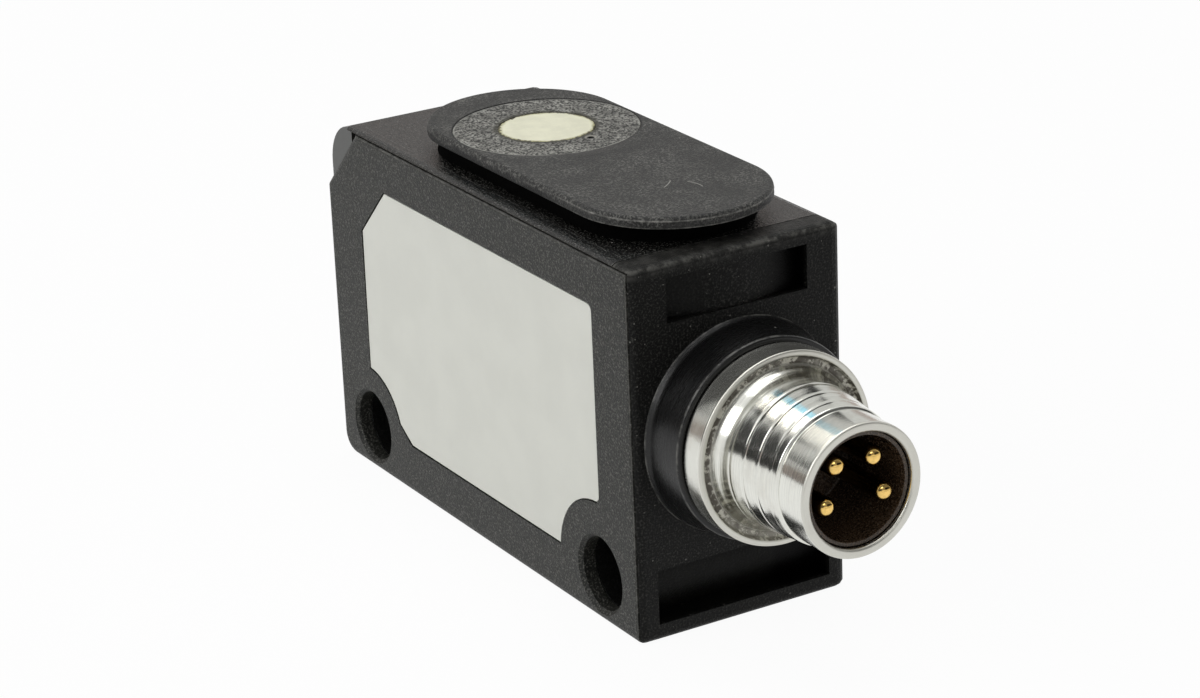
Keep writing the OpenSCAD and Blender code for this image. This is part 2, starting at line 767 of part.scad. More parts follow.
module contact_pin(n) {
    p = pin_places[n - 1];
    color([0.85, 0.65, 0.25]) {
        plug_rod(carrier_back_x, pin_tip_x - pin_radius, pin_radius, p[0], p[1]);
        plug_rod(tail_back_x, carrier_back_x + eps, tail_radius, p[0], p[1]);
        translate([pin_tip_x - pin_radius, p[0], plug_height + p[1]]) sphere(pin_radius, $fn = 32);
    }
}

// A wire from a solder tail along the board and down onto it
module plug_wire(n) {
    p = pin_places[n - 1];
    y = p[0];
    z = plug_height + p[1];
    end_x = y > 0 ? near_wire_x : far_wire_x;
    color([[0.35, 0.2, 0.1], [0.9, 0.9, 0.88], [0.15, 0.25, 0.7], [0.08, 0.08, 0.08]][n - 1]) {
        translate([end_x + wire_bend, y, z]) rotate([0, 90, 0])
            cylinder(h = tail_back_x - end_x - wire_bend, r = wire_radius, $fn = 24);
        translate([end_x + wire_bend, y + wire_bend, z]) rotate([0, 0, 180])
            rotate_extrude(angle = 90, $fn = 32) translate([wire_bend, 0]) circle(wire_radius, $fn = 24);
        translate([end_x, y + wire_bend, z]) rotate([-90, 0, 0])
            cylinder(h = board_y - y - wire_bend, r = wire_radius, $fn = 24);
    }
}

module main_board() {
    color([0.1, 0.35, 0.2]) across(board_y, board_back_y) polygon([
        [board_far_x, board_lift], [board_near_x, board_lift], [board_near_x, board_top_z],
        [notch_near_x, board_top_z], [notch_near_x, board_notch_z], [notch_far_x, board_notch_z],
        [notch_far_x, board_top_z], [board_far_x + board_corner, board_top_z],
        [board_far_x, board_top_z - board_corner]]);
}

// A block on the board's component side, centred at (x, z)
module on_board(x, z, w, h, t) {
    translate([x - w / 2, board_y - t, z - h / 2]) cube([w, t, h]);
}

// Place along the board of part i of its lower row
function row_x(i, n = 0) =
    n == i ? row_start_x + row_widths[i] / 2 + i * part_gap : row_widths[n] + row_x(i, n + 1);

module microcontroller() {
    x = row_x(2);
    mark = controller_size / 2 - 2 * dimple_radius;
    color([0.08, 0.08, 0.09]) difference() {
        on_board(x, row_z, controller_size, controller_size, controller_height);
        // Dimple that marks the first contact
        translate([x - mark, board_y - controller_height + dimple_depth, row_z + mark]) rotate([90, 0, 0])
            cylinder(h = 1, r = dimple_radius, $fn = 24);
    }
}

module amplifier_chip() {
    x = row_x(3);
    reach = (amplifier_width + leg_reach) / 2 - eps;
    color([0.09, 0.09, 0.09]) {
        on_board(x, row_z, amplifier_length, amplifier_width, amplifier_height);
        for (side = [-1, 1], i = [-1.5 : 1 : 1.5])
            on_board(x + i * leg_pitch, row_z + side * reach, leg_width, leg_reach, leg_thickness);
    }
}

module drive_transformer() {
    x = row_x(0);
    cap_y = board_y - transformer_height;
    color([0.25, 0.24, 0.23]) {
        on_board(x, row_z, transformer_size, transformer_size, transformer_base);
        cross_rod(x, row_z, transformer_core, cap_y + eps, board_y - transformer_base + eps);
        cross_rod(x, row_z, transformer_cap_radius, cap_y, cap_y + transformer_cap);
    }
}

module voltage_regulator() {
    leg_z = regulator_z - (regulator_width + leg_reach) / 2 + eps;
    color([0.1, 0.1, 0.1]) {
        on_board(regulator_x, regulator_z, regulator_length, regulator_width, regulator_height);
        for (i = [-1 : 1]) on_board(regulator_x + i * leg_pitch, leg_z, leg_width, leg_reach, leg_thickness);
    }
}

module filter_capacitor() {
    color([0.8, 0.55, 0.2]) on_board(filter_x, filter_z, filter_length, filter_width, filter_height);
}

module resonator() {
    z = row_z - controller_size / 2 - seam - resonator_width / 2;
    color([0.75, 0.75, 0.72]) on_board(row_x(2), z, resonator_length, resonator_width, resonator_height);
}

module ceramic_capacitors() {
    color([0.7, 0.6, 0.45]) {
        for (i = [0 : 3])
            on_board(notch_near_x + part_margin + capacitor_length / 2,
                board_notch_z + capacitor_width + i * capacitor_pitch,
                capacitor_length, capacitor_width, capacitor_width);
        for (side = [-1, 1])
            on_board(row_x(1), row_z + side * (capacitor_length + part_margin) / 2,
                capacitor_width, capacitor_length, capacitor_width);
    }
}

module resistors() {
    color([0.1, 0.1, 0.12]) {
        for (i = [0 : 3])
            on_board(notch_far_x - part_margin - resistor_length / 2,
                board_notch_z + resistor_width + i * resistor_pitch,
                resistor_length, resistor_width, resistor_height);
        for (i = [0 : 2])
            on_board(row_x(4), resistor_foot_z + i * resistor_pitch,
                resistor_length, resistor_width, resistor_height);
    }
}

// A light-emitting diode under a light pipe, its lens on a small block
module led(y) {
    translate([led_x - led_size / 2, y - 0.7 * led_size, led_z - led_size / 2])
        cube([led_size, 1.4 * led_size, led_size]);
    translate([led_x, y, led_z]) rotate([0, -45, 0]) cylinder(h = led_head, r = led_radius, $fn = 24);
}

// A foot that carries a block of a light at the place y on the board
module led_foot(y, z, thickness) {
    translate([led_x - thickness / 2, y, z]) cube([thickness, board_y - y, thickness]);
}

module green_led() {
    color([0.3, 0.8, 0.4]) {
        led(green_y);
        led_foot(green_y, led_z - led_size / 2, led_size);
    }
}

module yellow_led() {
    leg = 0.8 * led_size;
    drop_z = led_z - led_size / 2 - leg - air - led_size / 2;
    color([0.9, 0.75, 0.2]) {
        led(yellow_y);
        led_foot(yellow_y, drop_z, leg);
        translate([led_x - leg / 2, yellow_y, drop_z]) cube([leg, leg, led_z - drop_z]);
    }
}

housing();
side_cover();
label_plate();
head_plate();
light_window();
sensor_pad();
transducer_ring();
sound_face();
transducer_cup();
isolating_sleeve();
piezo_disc();
backing_foam();
transducer_lead(1);  // transducer_lead_1
transducer_lead(2);  // transducer_lead_2
plug_collar();
plug_shell();
plug_seal();
contact_carrier();
contact_pin(1);  // contact_pin_1
contact_pin(2);  // contact_pin_2
contact_pin(3);  // contact_pin_3
contact_pin(4);  // contact_pin_4
plug_wire(1);  // plug_wire_1
plug_wire(2);  // plug_wire_2
plug_wire(3);  // plug_wire_3
plug_wire(4);  // plug_wire_4
main_board();
microcontroller();
amplifier_chip();
drive_transformer();
voltage_regulator();
filter_capacitor();
resonator();
ceramic_capacitors();
resistors();
green_led();
yellow_led();
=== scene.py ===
"""Looks of the compact ultrasonic sensor: turned plug, sensing pad, finishes, floor, light and camera."""

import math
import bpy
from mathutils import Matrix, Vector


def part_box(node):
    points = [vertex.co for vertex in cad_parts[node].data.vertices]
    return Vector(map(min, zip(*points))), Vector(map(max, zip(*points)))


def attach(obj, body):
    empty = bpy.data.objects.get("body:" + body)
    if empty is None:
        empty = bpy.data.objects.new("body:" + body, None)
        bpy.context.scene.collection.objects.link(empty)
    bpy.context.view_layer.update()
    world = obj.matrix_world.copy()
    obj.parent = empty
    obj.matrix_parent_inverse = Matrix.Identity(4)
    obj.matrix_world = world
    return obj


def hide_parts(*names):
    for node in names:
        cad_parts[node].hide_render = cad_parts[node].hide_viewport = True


bl_info = {
    "name": "Ultrasonic Sensor",
    "version": (1, 0, 0),
    "blender": (4, 5, 0),
    "location": "View3D > Sidebar > Sensor",
    "description": "Dresses the packed solids of a block sensor with a round plug",
    "category": "Object",
}

import bmesh
import bpy
import numpy as np
from bpy.props import FloatProperty, FloatVectorProperty, PointerProperty
from mathutils import Matrix, Vector

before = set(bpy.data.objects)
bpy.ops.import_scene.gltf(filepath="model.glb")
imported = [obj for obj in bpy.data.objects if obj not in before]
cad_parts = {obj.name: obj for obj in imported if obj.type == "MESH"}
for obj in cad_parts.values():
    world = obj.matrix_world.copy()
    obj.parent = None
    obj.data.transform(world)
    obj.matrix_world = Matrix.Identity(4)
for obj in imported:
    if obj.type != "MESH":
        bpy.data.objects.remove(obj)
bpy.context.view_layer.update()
MM = 0.001
BODY = "root"
WHITE = (1.0, 1.0, 1.0, 1.0)


def corners(node):
    """The lowest and highest corner of a solid, in millimetres."""
    low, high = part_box(node)
    return np.array(low) / MM, np.array(high) / MM


SHELL_LOW, SHELL_HIGH = corners("plug_shell")
COLLAR_LOW, COLLAR_HIGH = corners("plug_collar")
PAD_LOW, PAD_HIGH = corners("sensor_pad")
RING_LOW, RING_HIGH = corners("transducer_ring")
FACE_LOW, FACE_HIGH = corners("sound_face")
HOUSING_LOW, HOUSING_HIGH = corners("housing")
CARRIER_LOW, CARRIER_HIGH = corners("contact_carrier")
COVER_HIGH = corners("side_cover")[1]
HEAD_HIGH = corners("head_plate")[1]
PIN_NODES = ["contact_pin_1", "contact_pin_2", "contact_pin_3", "contact_pin_4"]
PLUG_HEIGHT = (SHELL_LOW[2] + SHELL_HIGH[2]) / 2
TRANSDUCER_X = (RING_LOW[0] + RING_HIGH[0]) / 2
PIT = (2.95, 0.93)  # the ring's pit, from the transducer's centre
HAIRS = (  # three places (x, y) along each hair on the pad
    ((10.23, -0.41), (9.96, -0.06), (9.51, 0.38)),
    ((10.31, 0.98), (10.75, 1.13), (11.40, 1.10)),
)


# Sizes and colours that a user would change


def length(name, description, default):
    """A length property whose default is given in millimetres."""
    return FloatProperty(name=name, description=description, default=default * MM, unit="LENGTH", precision=5)


def angle(name, description, default):
    """An angle property whose default is given in degrees."""
    return FloatProperty(name=name, description=description, default=math.radians(default), unit="ROTATION")


def amount(name, description, default):
    """A plain number that isn't below zero."""
    return FloatProperty(name=name, description=description, default=default, min=0.0)


def colour(name, description, default):
    """A colour property with linear values."""
    return FloatVectorProperty(
        name=name, description=description, default=default, size=3, min=0.0, max=1.0, subtype="COLOR"
    )


class PlugSizes(bpy.types.PropertyGroup):
    """Sizes of the plug's turned parts."""

    flange_radius: length("Flange radius", "Radius of the metal flange", 5.03)
    flange_width: length("Flange width", "Width of the metal flange", 1.45)
    hollow_depth: length("Hollow depth", "Depth of the hollow in the flange's front", 0.3)
    thread_radius: length("Thread radius", "Radius over the thread next to the flange", 3.9)
    thread_pitch: length("Thread pitch", "Distance from one turn of the thread to the next", 1.0)
    thread_depth: length("Thread depth", "Depth of the thread's groove", 0.02)
    neck_radius: length("Neck radius", "Radius over the thread next to the nose", 3.54)
    nose_radius: length("Nose radius", "Radius of the smooth front end", 3.43)
    nose_length: length("Nose length", "Length of the smooth front end", 2.0)
    bore_radius: length("Bore radius", "Radius of the plug's bore", 2.92)
    bore_depth: length("Bore depth", "Depth of the bore in front of the contact carrier", 5.0)
    sleeve_wall: length("Sleeve wall", "Wall of the plastic sleeve in the bore", 0.2)
    pin_radius: length("Pin radius", "Radius of a contact pin", 0.5)
    collar_foot: length("Collar foot", "Radius of the black collar at its foot", 5.62)
    collar_front: length("Collar front", "Radius of the black collar at its front", 5.28)


class PadSizes(bpy.types.PropertyGroup):
    """Sizes of the sensing pad and its transducer."""

    edge_height: length("Edge height", "Height of the pad's rounded upper edge", 0.26)
    edge_width: length("Edge width", "Width of the pad's rounded upper edge", 0.2)
    overhang: length("Overhang", "How far the pad overhangs its neck", 0.55)
    setback: length("Setback", "Further overhang at the plug's end", 0.6)
    plate: length("Plate", "Thickness of the overhanging plate", 0.62)
    roughness: length("Wall roughness", "Height of the uneven places in the side wall", 0.025)
    ring_relief: length("Ring relief", "Height of the grains in the speckled ring", 0.022)


class Finishes(bpy.types.PropertyGroup):
    """Colours of the finishes."""

    housing: colour("Housing", "Moulded plastic of the housing", (0.0045, 0.0046, 0.0041))
    cover: colour("Cover", "Moulded plastic of the side cover", (0.0115, 0.0121, 0.0092))
    pad: colour("Pad", "Rubbery coating of the pad", (0.014, 0.0142, 0.0128))
    ring: colour("Ring", "Casting compound of the ring", (0.150, 0.149, 0.136))
    face: colour("Sound face", "Cream matching layer", (0.84, 0.83, 0.64))
    label: colour("Label", "Bare label film", (0.71, 0.717, 0.655))
    collar: colour("Collar", "Glossy black collar", (0.004, 0.004, 0.004))
    metal: colour("Metal", "Bright plated shell", (0.77, 0.775, 0.72))
    gold: colour("Gold", "Plated contact pins", (0.86, 0.58, 0.19))
    window: colour("Window", "Translucent light window", (0.045, 0.047, 0.042))
    dust: colour("Dust", "Dust and worn edges", (0.30, 0.295, 0.27))
    floor: colour("Floor", "Plain pale floor", (0.86, 0.86, 0.86))


class Studio(bpy.types.PropertyGroup):
    """Camera and lamps."""

    azimuth: angle("Azimuth", "Camera's turn round the part", 59.665)
    elevation: angle("Elevation", "Camera's height angle", 20.959)
    roll: angle("Roll", "Camera's tilt", -2.379)
    distance: length("Distance", "From the camera to its target", 185.768)
    target: FloatVectorProperty(
        name="Target", description="What the camera looks at", default=(0.002492, 0.0, 0.010259), size=3,
        subtype="XYZ",
    )
    lens: FloatProperty(name="Lens", description="Focal length in millimetres", default=106.0035, min=10.0)
    key: amount("Key lamp", "Power of the large side lamp in watts", 0.85)
    top: amount("Top lamp", "Power of the lamp overhead in watts", 0.70)
    fill: amount("Fill lamp", "Power of the weak lamp at the plug's end", 0.10)
    sky: amount("Room light", "Strength of the light from all round", 0.36)


# Surfaces


def grid_quads(rows, columns, wrap_rows, wrap_columns):
    """Quads that each join four neighbouring points of a grid. A wrapped direction joins its last line to its
    first."""
    r = np.arange(rows if wrap_rows else rows - 1)[:, None]
    c = np.arange(columns if wrap_columns else columns - 1)[None, :]
    here, there = r * columns, (r + 1) % rows * columns
    c_next = (c + 1) % columns
    return np.stack([here + c, here + c_next, there + c_next, there + c], -1).reshape(-1, 4).tolist()


def to_object(name, points, wrap_rows, wrap_columns, material, values=None, second=None):
    """A piece from a grid of points (rows, columns, 3) in millimetres. values is one number per point. second
    is a further material and a number per row, and quads that start on a row above 0.5 take it."""
    rows, columns = points.shape[:2]
    quads = grid_quads(rows, columns, wrap_rows, wrap_columns)
    mesh = bpy.data.meshes.new(name)
    mesh.from_pydata((points.reshape(-1, 3) * MM).tolist(), [], quads)
    for key, value in (values or {}).items():
        attribute = mesh.attributes.new(key, "FLOAT", "POINT")
        numbers = np.broadcast_to(value, (rows, columns)).astype(np.float32)
        attribute.data.foreach_set("value", numbers.ravel())
    mesh.materials.append(material)
    if second:
        mesh.materials.append(second[0])
        start_rows = np.array(quads)[:, 0] // columns
        chosen = np.asarray(second[1])[start_rows] > 0.5
        mesh.polygons.foreach_set("material_index", chosen.astype(np.int32))
    work = bmesh.new()
    work.from_mesh(mesh)
    bmesh.ops.remove_doubles(work, verts=work.verts, dist=0.0004 * MM)
    bmesh.ops.recalc_face_normals(work, faces=work.faces)
    work.to_mesh(mesh)
    work.free()
    mesh.polygons.foreach_set("use_smooth", np.ones(len(mesh.polygons), bool))
    mesh.update()
    piece = bpy.data.objects.new(name, mesh)
    bpy.context.scene.collection.objects.link(piece)
    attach(piece, BODY)
    return piece


def rounded(points, radii, steps=6):
    """A profile through corner points, each corner replaced by a short curve. The curve starts l before the
    corner and ends l after it, where l is the corner's radius or under half its shorter side, and follows
    (1 - t)^2 start + 2 t (1 - t) corner + t^2 end. The first and the last point stay."""
    points = np.array(points, float)
    radii = np.broadcast_to(np.array(radii, float), len(points))
    before, here, after = points[:-2], points[1:-1], points[2:]
    back, ahead = before - here, after - here
    back_length = np.linalg.norm(back, axis=1, keepdims=True)
    ahead_length = np.linalg.norm(ahead, axis=1, keepdims=True)
    reach = np.minimum(radii[1:-1, None], 0.49 * np.minimum(back_length, ahead_length))
    start = (here + back / back_length * reach)[:, None, :]
    end = (here + ahead / ahead_length * reach)[:, None, :]
    t = np.linspace(0, 1, steps)[None, :, None]
    curve = (1 - t) ** 2 * start + 2 * t * (1 - t) * here[:, None, :] + t**2 * end
    return np.concatenate([points[:1], curve.reshape(-1, points.shape[1]), points[-1:]])


def dense(profile, step):
    """The same profile with further points, so that none lie more than a step apart: its length along the
    line is divided evenly, and its own points are kept."""
    along = np.concatenate([[0], np.cumsum(np.linalg.norm(np.diff(profile, axis=0), axis=1))])
    even = np.linspace(0, along[-1], int(along[-1] / step) + 2)
    places = np.unique(np.concatenate([along, even]).round(6))
    return np.stack([np.interp(places, along, profile[:, i]) for i in range(profile.shape[1])], -1)


def circle(columns):
    """A row of angles that divide a full turn evenly."""
    return np.linspace(0, 2 * np.pi, columns, endpoint=False)[None, :]


def spread(value, a):
    """One number a row as a grid with a column for each angle of a. A grid stays as it is."""
    value = np.asarray(value)
    return (value if value.ndim == 2 else value[:, None]) * np.ones_like(a)


def turned_along_x(x, radius, height, columns, side=0.0):
    """A profile turned about a line along X: y = side + r cos a, z = height + r sin a. x and radius are
    one number a row, or a grid with one a point."""
    a = circle(columns)
    x, radius = spread(x, a), spread(radius, a)
    return np.stack([x, side + radius * np.cos(a), height + radius * np.sin(a)], -1)


def turned_along_z(radius, z, columns):
    """A profile turned about the transducer's upright line: x = centre + r cos a, y = r sin a."""
    a = circle(columns)
    radius, z = spread(radius, a), spread(z, a)
    return np.stack([TRANSDUCER_X + radius * np.cos(a), radius * np.sin(a), z], -1)


def relief(x, y, size, seed):
    """Smooth random heights from -1 to 1: random numbers on a square lattice with cells of the given size,
    blended between lattice points by the weight t^2 (3 - 2 t) in both directions."""
    table = np.random.default_rng(seed).uniform(-1, 1, (64, 64))
    u, v = np.asarray(x) / size + 1000.0, np.asarray(y) / size + 1000.0
    i, j = np.floor(u).astype(int), np.floor(v).astype(int)
    s, t = u - i, v - j
    s, t = s * s * (3 - 2 * s), t * t * (3 - 2 * t)
    low = table[i % 64, j % 64] * (1 - s) + table[(i + 1) % 64, j % 64] * s
    high = table[i % 64, (j + 1) % 64] * (1 - s) + table[(i + 1) % 64, (j + 1) % 64] * s
    return low * (1 - t) + high * t


# Shader effects that several finishes share


def fill(tree, socket, value):
    """Links a socket to another node's output, or sets its value."""
    if isinstance(value, bpy.types.NodeSocket):
        tree.links.new(value, socket)
    else:
        socket.default_value = value


def add(tree, kind, inputs=None, **settings):
    """Adds a node with its settings, and fills its sockets with values or with other nodes' outputs."""
    node = tree.nodes.new(kind)
    for key, value in settings.items():
        setattr(node, key, value)
    for socket, value in (inputs or {}).items():
        fill(tree, node.inputs[socket], value)
    return node


def calc(tree, operation, a, b=0.0, c=0.0, clamp=False):
    """The output of one Math node."""
    return add(tree, "ShaderNodeMath", {0: a, 1: b, 2: c}, operation=operation, use_clamp=clamp).outputs[0]


def times(tree, first, *others):
    """Several values multiplied with one another."""
    for value in others:
        first = calc(tree, "MULTIPLY", first, value)
    return first


def strongest(tree, first, *others):
    """The highest of several masks."""
    for mask in others:
        first = calc(tree, "MAXIMUM", first, mask)
    return first


def scaled(tree, value, factor, offset):
    """A value times a factor, plus an offset."""
    return calc(tree, "MULTIPLY_ADD", value, factor, offset)


def apart(tree, a, b):
    """How far two values are from one another."""
    return calc(tree, "ABSOLUTE", calc(tree, "SUBTRACT", a, b))


def remap(tree, value, low, high, to_low=0.0, to_high=1.0):
    """A value taken smoothly from one range to another."""
    inputs = {"Value": value, "From Min": low, "From Max": high, "To Min": to_low, "To Max": to_high}
    return add(tree, "ShaderNodeMapRange", inputs, interpolation_type="SMOOTHSTEP").outputs["Result"]


def fading(tree, gap, low, high, start=1.0):
    """A strength that falls to nothing between two distances in millimetres."""
    return remap(tree, gap, low * MM, high * MM, start, 0.0)


def noise(tree, place, scale, detail, roughness=0.5):
    """The value of one Noise Texture node."""
    inputs = {"Vector": place, "Scale": scale, "Detail": detail, "Roughness": roughness}
    return add(tree, "ShaderNodeTexNoise", inputs).outputs["Fac"]


def stretched(tree, place, factors):
    """The coordinates, each multiplied by a factor of its own."""
    return add(tree, "ShaderNodeMapping", {"Vector": place, "Scale": factors}).outputs[0]


def split(tree, place):
    """The three coordinates one by one."""
    return add(tree, "ShaderNodeSeparateXYZ", {0: place}).outputs


def mesh_value(tree, name):
    """A number that the mesh carries at its points."""
    return add(tree, "ShaderNodeAttribute", attribute_name=name).outputs["Fac"]


def distance_from(tree, place, x, y):
    """The distance from the upright line at x and y, given in millimetres."""
    flat = stretched(tree, place, (1.0, 1.0, 0.0))
    inputs = {0: flat, 1: (x * MM, y * MM, 0.0)}
    return add(tree, "ShaderNodeVectorMath", inputs, operation="DISTANCE").outputs["Value"]


def blend_colours(tree, factor, a, b, mode="MIX"):
    """The output of one colour Mix node."""
    settings = {"data_type": "RGBA", "blend_type": mode, "clamp_factor": True}
    node = add(tree, "ShaderNodeMix", {"Factor": factor}, **settings)
    for name, value in (("A", a), ("B", b)):
        socket = [s for s in node.inputs if s.name == name and s.type == "RGBA"][0]
        fill(tree, socket, (*value, 1.0) if isinstance(value, tuple) else value)
    return [s for s in node.outputs if s.type == "RGBA"][0]


def layered(tree, paint, *layers):
    """A colour with others over it, from the lowest up. Each layer is a mask and a colour."""
    for mask, over in layers:
        paint = blend_colours(tree, mask, paint, over)
    return paint


def shaded(tree, base, shade):
    """A colour multiplied by one value."""
    grey = add(tree, "ShaderNodeCombineColor", {0: shade, 1: shade, 2: shade}).outputs[0]
    return blend_colours(tree, 1.0, base, grey, "MULTIPLY")


def new_group(name, inputs, outputs):
    """An empty shader group, and the sockets of its input and output nodes. An input whose default is None
    takes coordinates, and any other a number."""
    group = bpy.data.node_groups.new(name, "ShaderNodeTree")
    for key, default in inputs.items():
        kind = "NodeSocketVector" if default is None else "NodeSocketFloat"
        socket = group.interface.new_socket(name=key, in_out="INPUT", socket_type=kind)
        if default is not None:
            socket.default_value = default
    for key in outputs:
        group.interface.new_socket(name=key, in_out="OUTPUT", socket_type="NodeSocketFloat")
    return group, group.nodes.new("NodeGroupInput").outputs, group.nodes.new("NodeGroupOutput").inputs


def grain_group():
    """Moulded grain: fine noise for the bump's height, and the same noise with a coarser one for the tone."""
    inputs = {"Coordinate": None, "Scale": 9000.0}
    group, (place, scale, *_), (height, tone, *_) = new_group("moulded_grain", inputs, ["Height", "Tone"])
    fine = noise(group, place, scale, 3.0, 0.6)
    coarse = noise(group, place, times(group, scale, 0.09), 4.0)
    group.links.new(fine, height)
    group.links.new(scaled(group, remap(group, fine, 0.3, 0.72), 0.5, times(group, coarse, 0.5)), tone)
    return group


def dust_group():
    """Dust: round specks in the cells of a Voronoi pattern, where the cell's random colour lets one lie."""
    inputs = {"Coordinate": None, "Scale": 1500.0, "Size": 0.08, "Share": 0.3}
    group, (place, scale, size, share, *_), (mask, *_) = new_group("dust_specks", inputs, ["Mask"])
    wobble = noise(group, place, 6000.0, 2.0)
    cells = add(group, "ShaderNodeTexVoronoi", {"Vector": place, "Scale": scale}, feature="F1").outputs
    pick = add(group, "ShaderNodeSeparateColor", {"Color": cells["Color"]}).outputs
    lies = calc(group, "LESS_THAN", pick[0], share)
    reach = times(group, size, calc(group, "ADD", pick[1], 0.4), calc(group, "ADD", wobble, 0.5))
    inside = remap(group, calc(group, "SUBTRACT", reach, cells["Distance"]), 0.0, 0.02)
    group.links.new(times(group, lies, inside), mask)
    return group


def line_group():
    """Worn line: a band about a place on one coordinate, broken up by noise."""
    inputs = {"Coordinate": None, "Value": 0.0, "Place": 0.0, "Half width": 0.0001, "Breakup": 0.5}
    group, given, (mask, *_) = new_group("worn_line", inputs, ["Mask"])
    place, value, middle, half_width, breakup, *_ = given
    off = calc(group, "DIVIDE", apart(group, value, middle), half_width)
    band = calc(group, "SUBTRACT", 1.0, off, clamp=True)
    broken = remap(group, noise(group, place, 1800.0, 5.0, 0.65), 0.42, 0.62)
    kept = scaled(group, calc(group, "SUBTRACT", broken, 1.0), breakup, 1.0)
    group.links.new(times(group, band, kept), mask)
    return group


GROUP_MAKERS = {"grain": grain_group, "dust": dust_group, "line": line_group}
GROUPS = {}


def effect(tree, name, **inputs):
    """Places a shared effect in a tree, built the first time that it is asked for."""
    if name not in GROUPS:
        GROUPS[name] = GROUP_MAKERS[name]()
    node = tree.nodes.new("ShaderNodeGroup")
    node.node_tree = GROUPS[name]
    for key, value in inputs.items():
        fill(tree, node.inputs[key.replace("_", " ").capitalize()], value)
    return node.outputs


def worn_line(tree, place, value, at, half, breakup, strength):
    """The mask of one worn line at a place on the given value, with half its width in the same unit."""
    line = effect(tree, "line", coordinate=place, value=value, place=at, half_width=half, breakup=breakup)
    return times(tree, line[0], strength)


def new_material(name):
    """An empty material: its tree, its Principled BSDF and the Object coordinates."""
    material = bpy.data.materials.new(name)
    material.use_nodes = True
    tree = material.node_tree
    tree.nodes.clear()
    surface = tree.nodes.new("ShaderNodeBsdfPrincipled")
    output = tree.nodes.new("ShaderNodeOutputMaterial")
    tree.links.new(surface.outputs[0], output.inputs[0])
    return material, tree, surface, tree.nodes.new("ShaderNodeTexCoord").outputs["Object"]


def connect(tree, surface, paint, roughness, height, depth, specular=0.5):
    """Feeds a finish's colour, roughness and bump height to its Principled BSDF, with the bump's depth in
    millimetres, and sets its specular level."""
    bump = add(tree, "ShaderNodeBump", {"Height": height, "Distance": depth * MM, "Strength": 1.0})
    tree.links.new(paint, surface.inputs["Base Color"])
    tree.links.new(roughness, surface.inputs["Roughness"])
    tree.links.new(bump.outputs[0], surface.inputs["Normal"])
    surface.inputs["Specular IOR Level"].default_value = specular


# Finishes


def moulded_finish(
    name, base, dust, roughness, gloss, flecks, specks, lines=(), seams_and_painted_shade=(), bump=0.05, core=None
):
    """Fine grained moulded plastic: pale flecks on the grain, dust, and worn edges. Each worn edge in lines
    is (axis, place, half width, strength), with the place and the width in millimetres on X, Y or Z. The dark
    lines are given the same way, each a seam or a band of painted shade. core is a box, inside whose skin the
    dust is weak and the back (+Y) side is painted black: painted shade in the pocket."""
    material, tree, surface, place = new_material(name)
    height, tone = effect(tree, "grain", coordinate=place, scale=9000.0)
    axes = split(tree, place)
    dusty = [times(tree, remap(tree, height, 0.5, 0.68), flecks)]
    for scale, size, share, strength in ((1100.0, 0.06, specks, 0.95), (2600.0, 0.11, specks * 1.4, 0.45)):
        layer = effect(tree, "dust", coordinate=place, scale=scale, size=size, share=share)[0]
        dusty.append(times(tree, layer, strength))
    black = []
    for marks, masks in ((lines, dusty), (seams_and_painted_shade, black)):
        for axis, at, half, strength in marks:
            value = axes["XYZ".index(axis)]
            masks.append(worn_line(tree, place, value, at * MM, half * MM, 0.8, strength))
    worn = strongest(tree, *dusty)
    if core:
        inside = core_mask(tree, axes, *core, skin=0.2)
        worn = times(tree, worn, scaled(tree, inside, -0.8, 1.0))
        # Painted shade: inside the housing's skin, the +Y part of the pocket is painted black
        black.append(times(tree, inside, remap(tree, axes[1], 2.0 * MM, 2.9 * MM)))
    paint = shaded(tree, base, remap(tree, tone, 0.2, 0.8, 0.45, 1.55))
    paint = layered(tree, paint, (worn, dust))
    # Seams and painted shade, laid on in near black
    if black:
        paint = layered(tree, paint, (strongest(tree, *black), (0.0008, 0.0008, 0.0008)))
    connect(tree, surface, paint, scaled(tree, tone, 0.2, roughness - 0.1), height, bump, gloss)
    return material


def core_mask(tree, axes, low, high, skin):
    """1 well inside a box and 0 within its skin: a product over the axes of a step in the distance from the
    box's middle. Lengths are in millimetres."""
    steps = []
    for axis, a, b in zip(axes, low, high):
        half = (b - a) / 2
        gap = apart(tree, axis, (a + b) / 2 * MM)
        steps.append(remap(tree, gap, (half - skin) * MM, (half - 2 * skin) * MM))
    return times(tree, *steps)


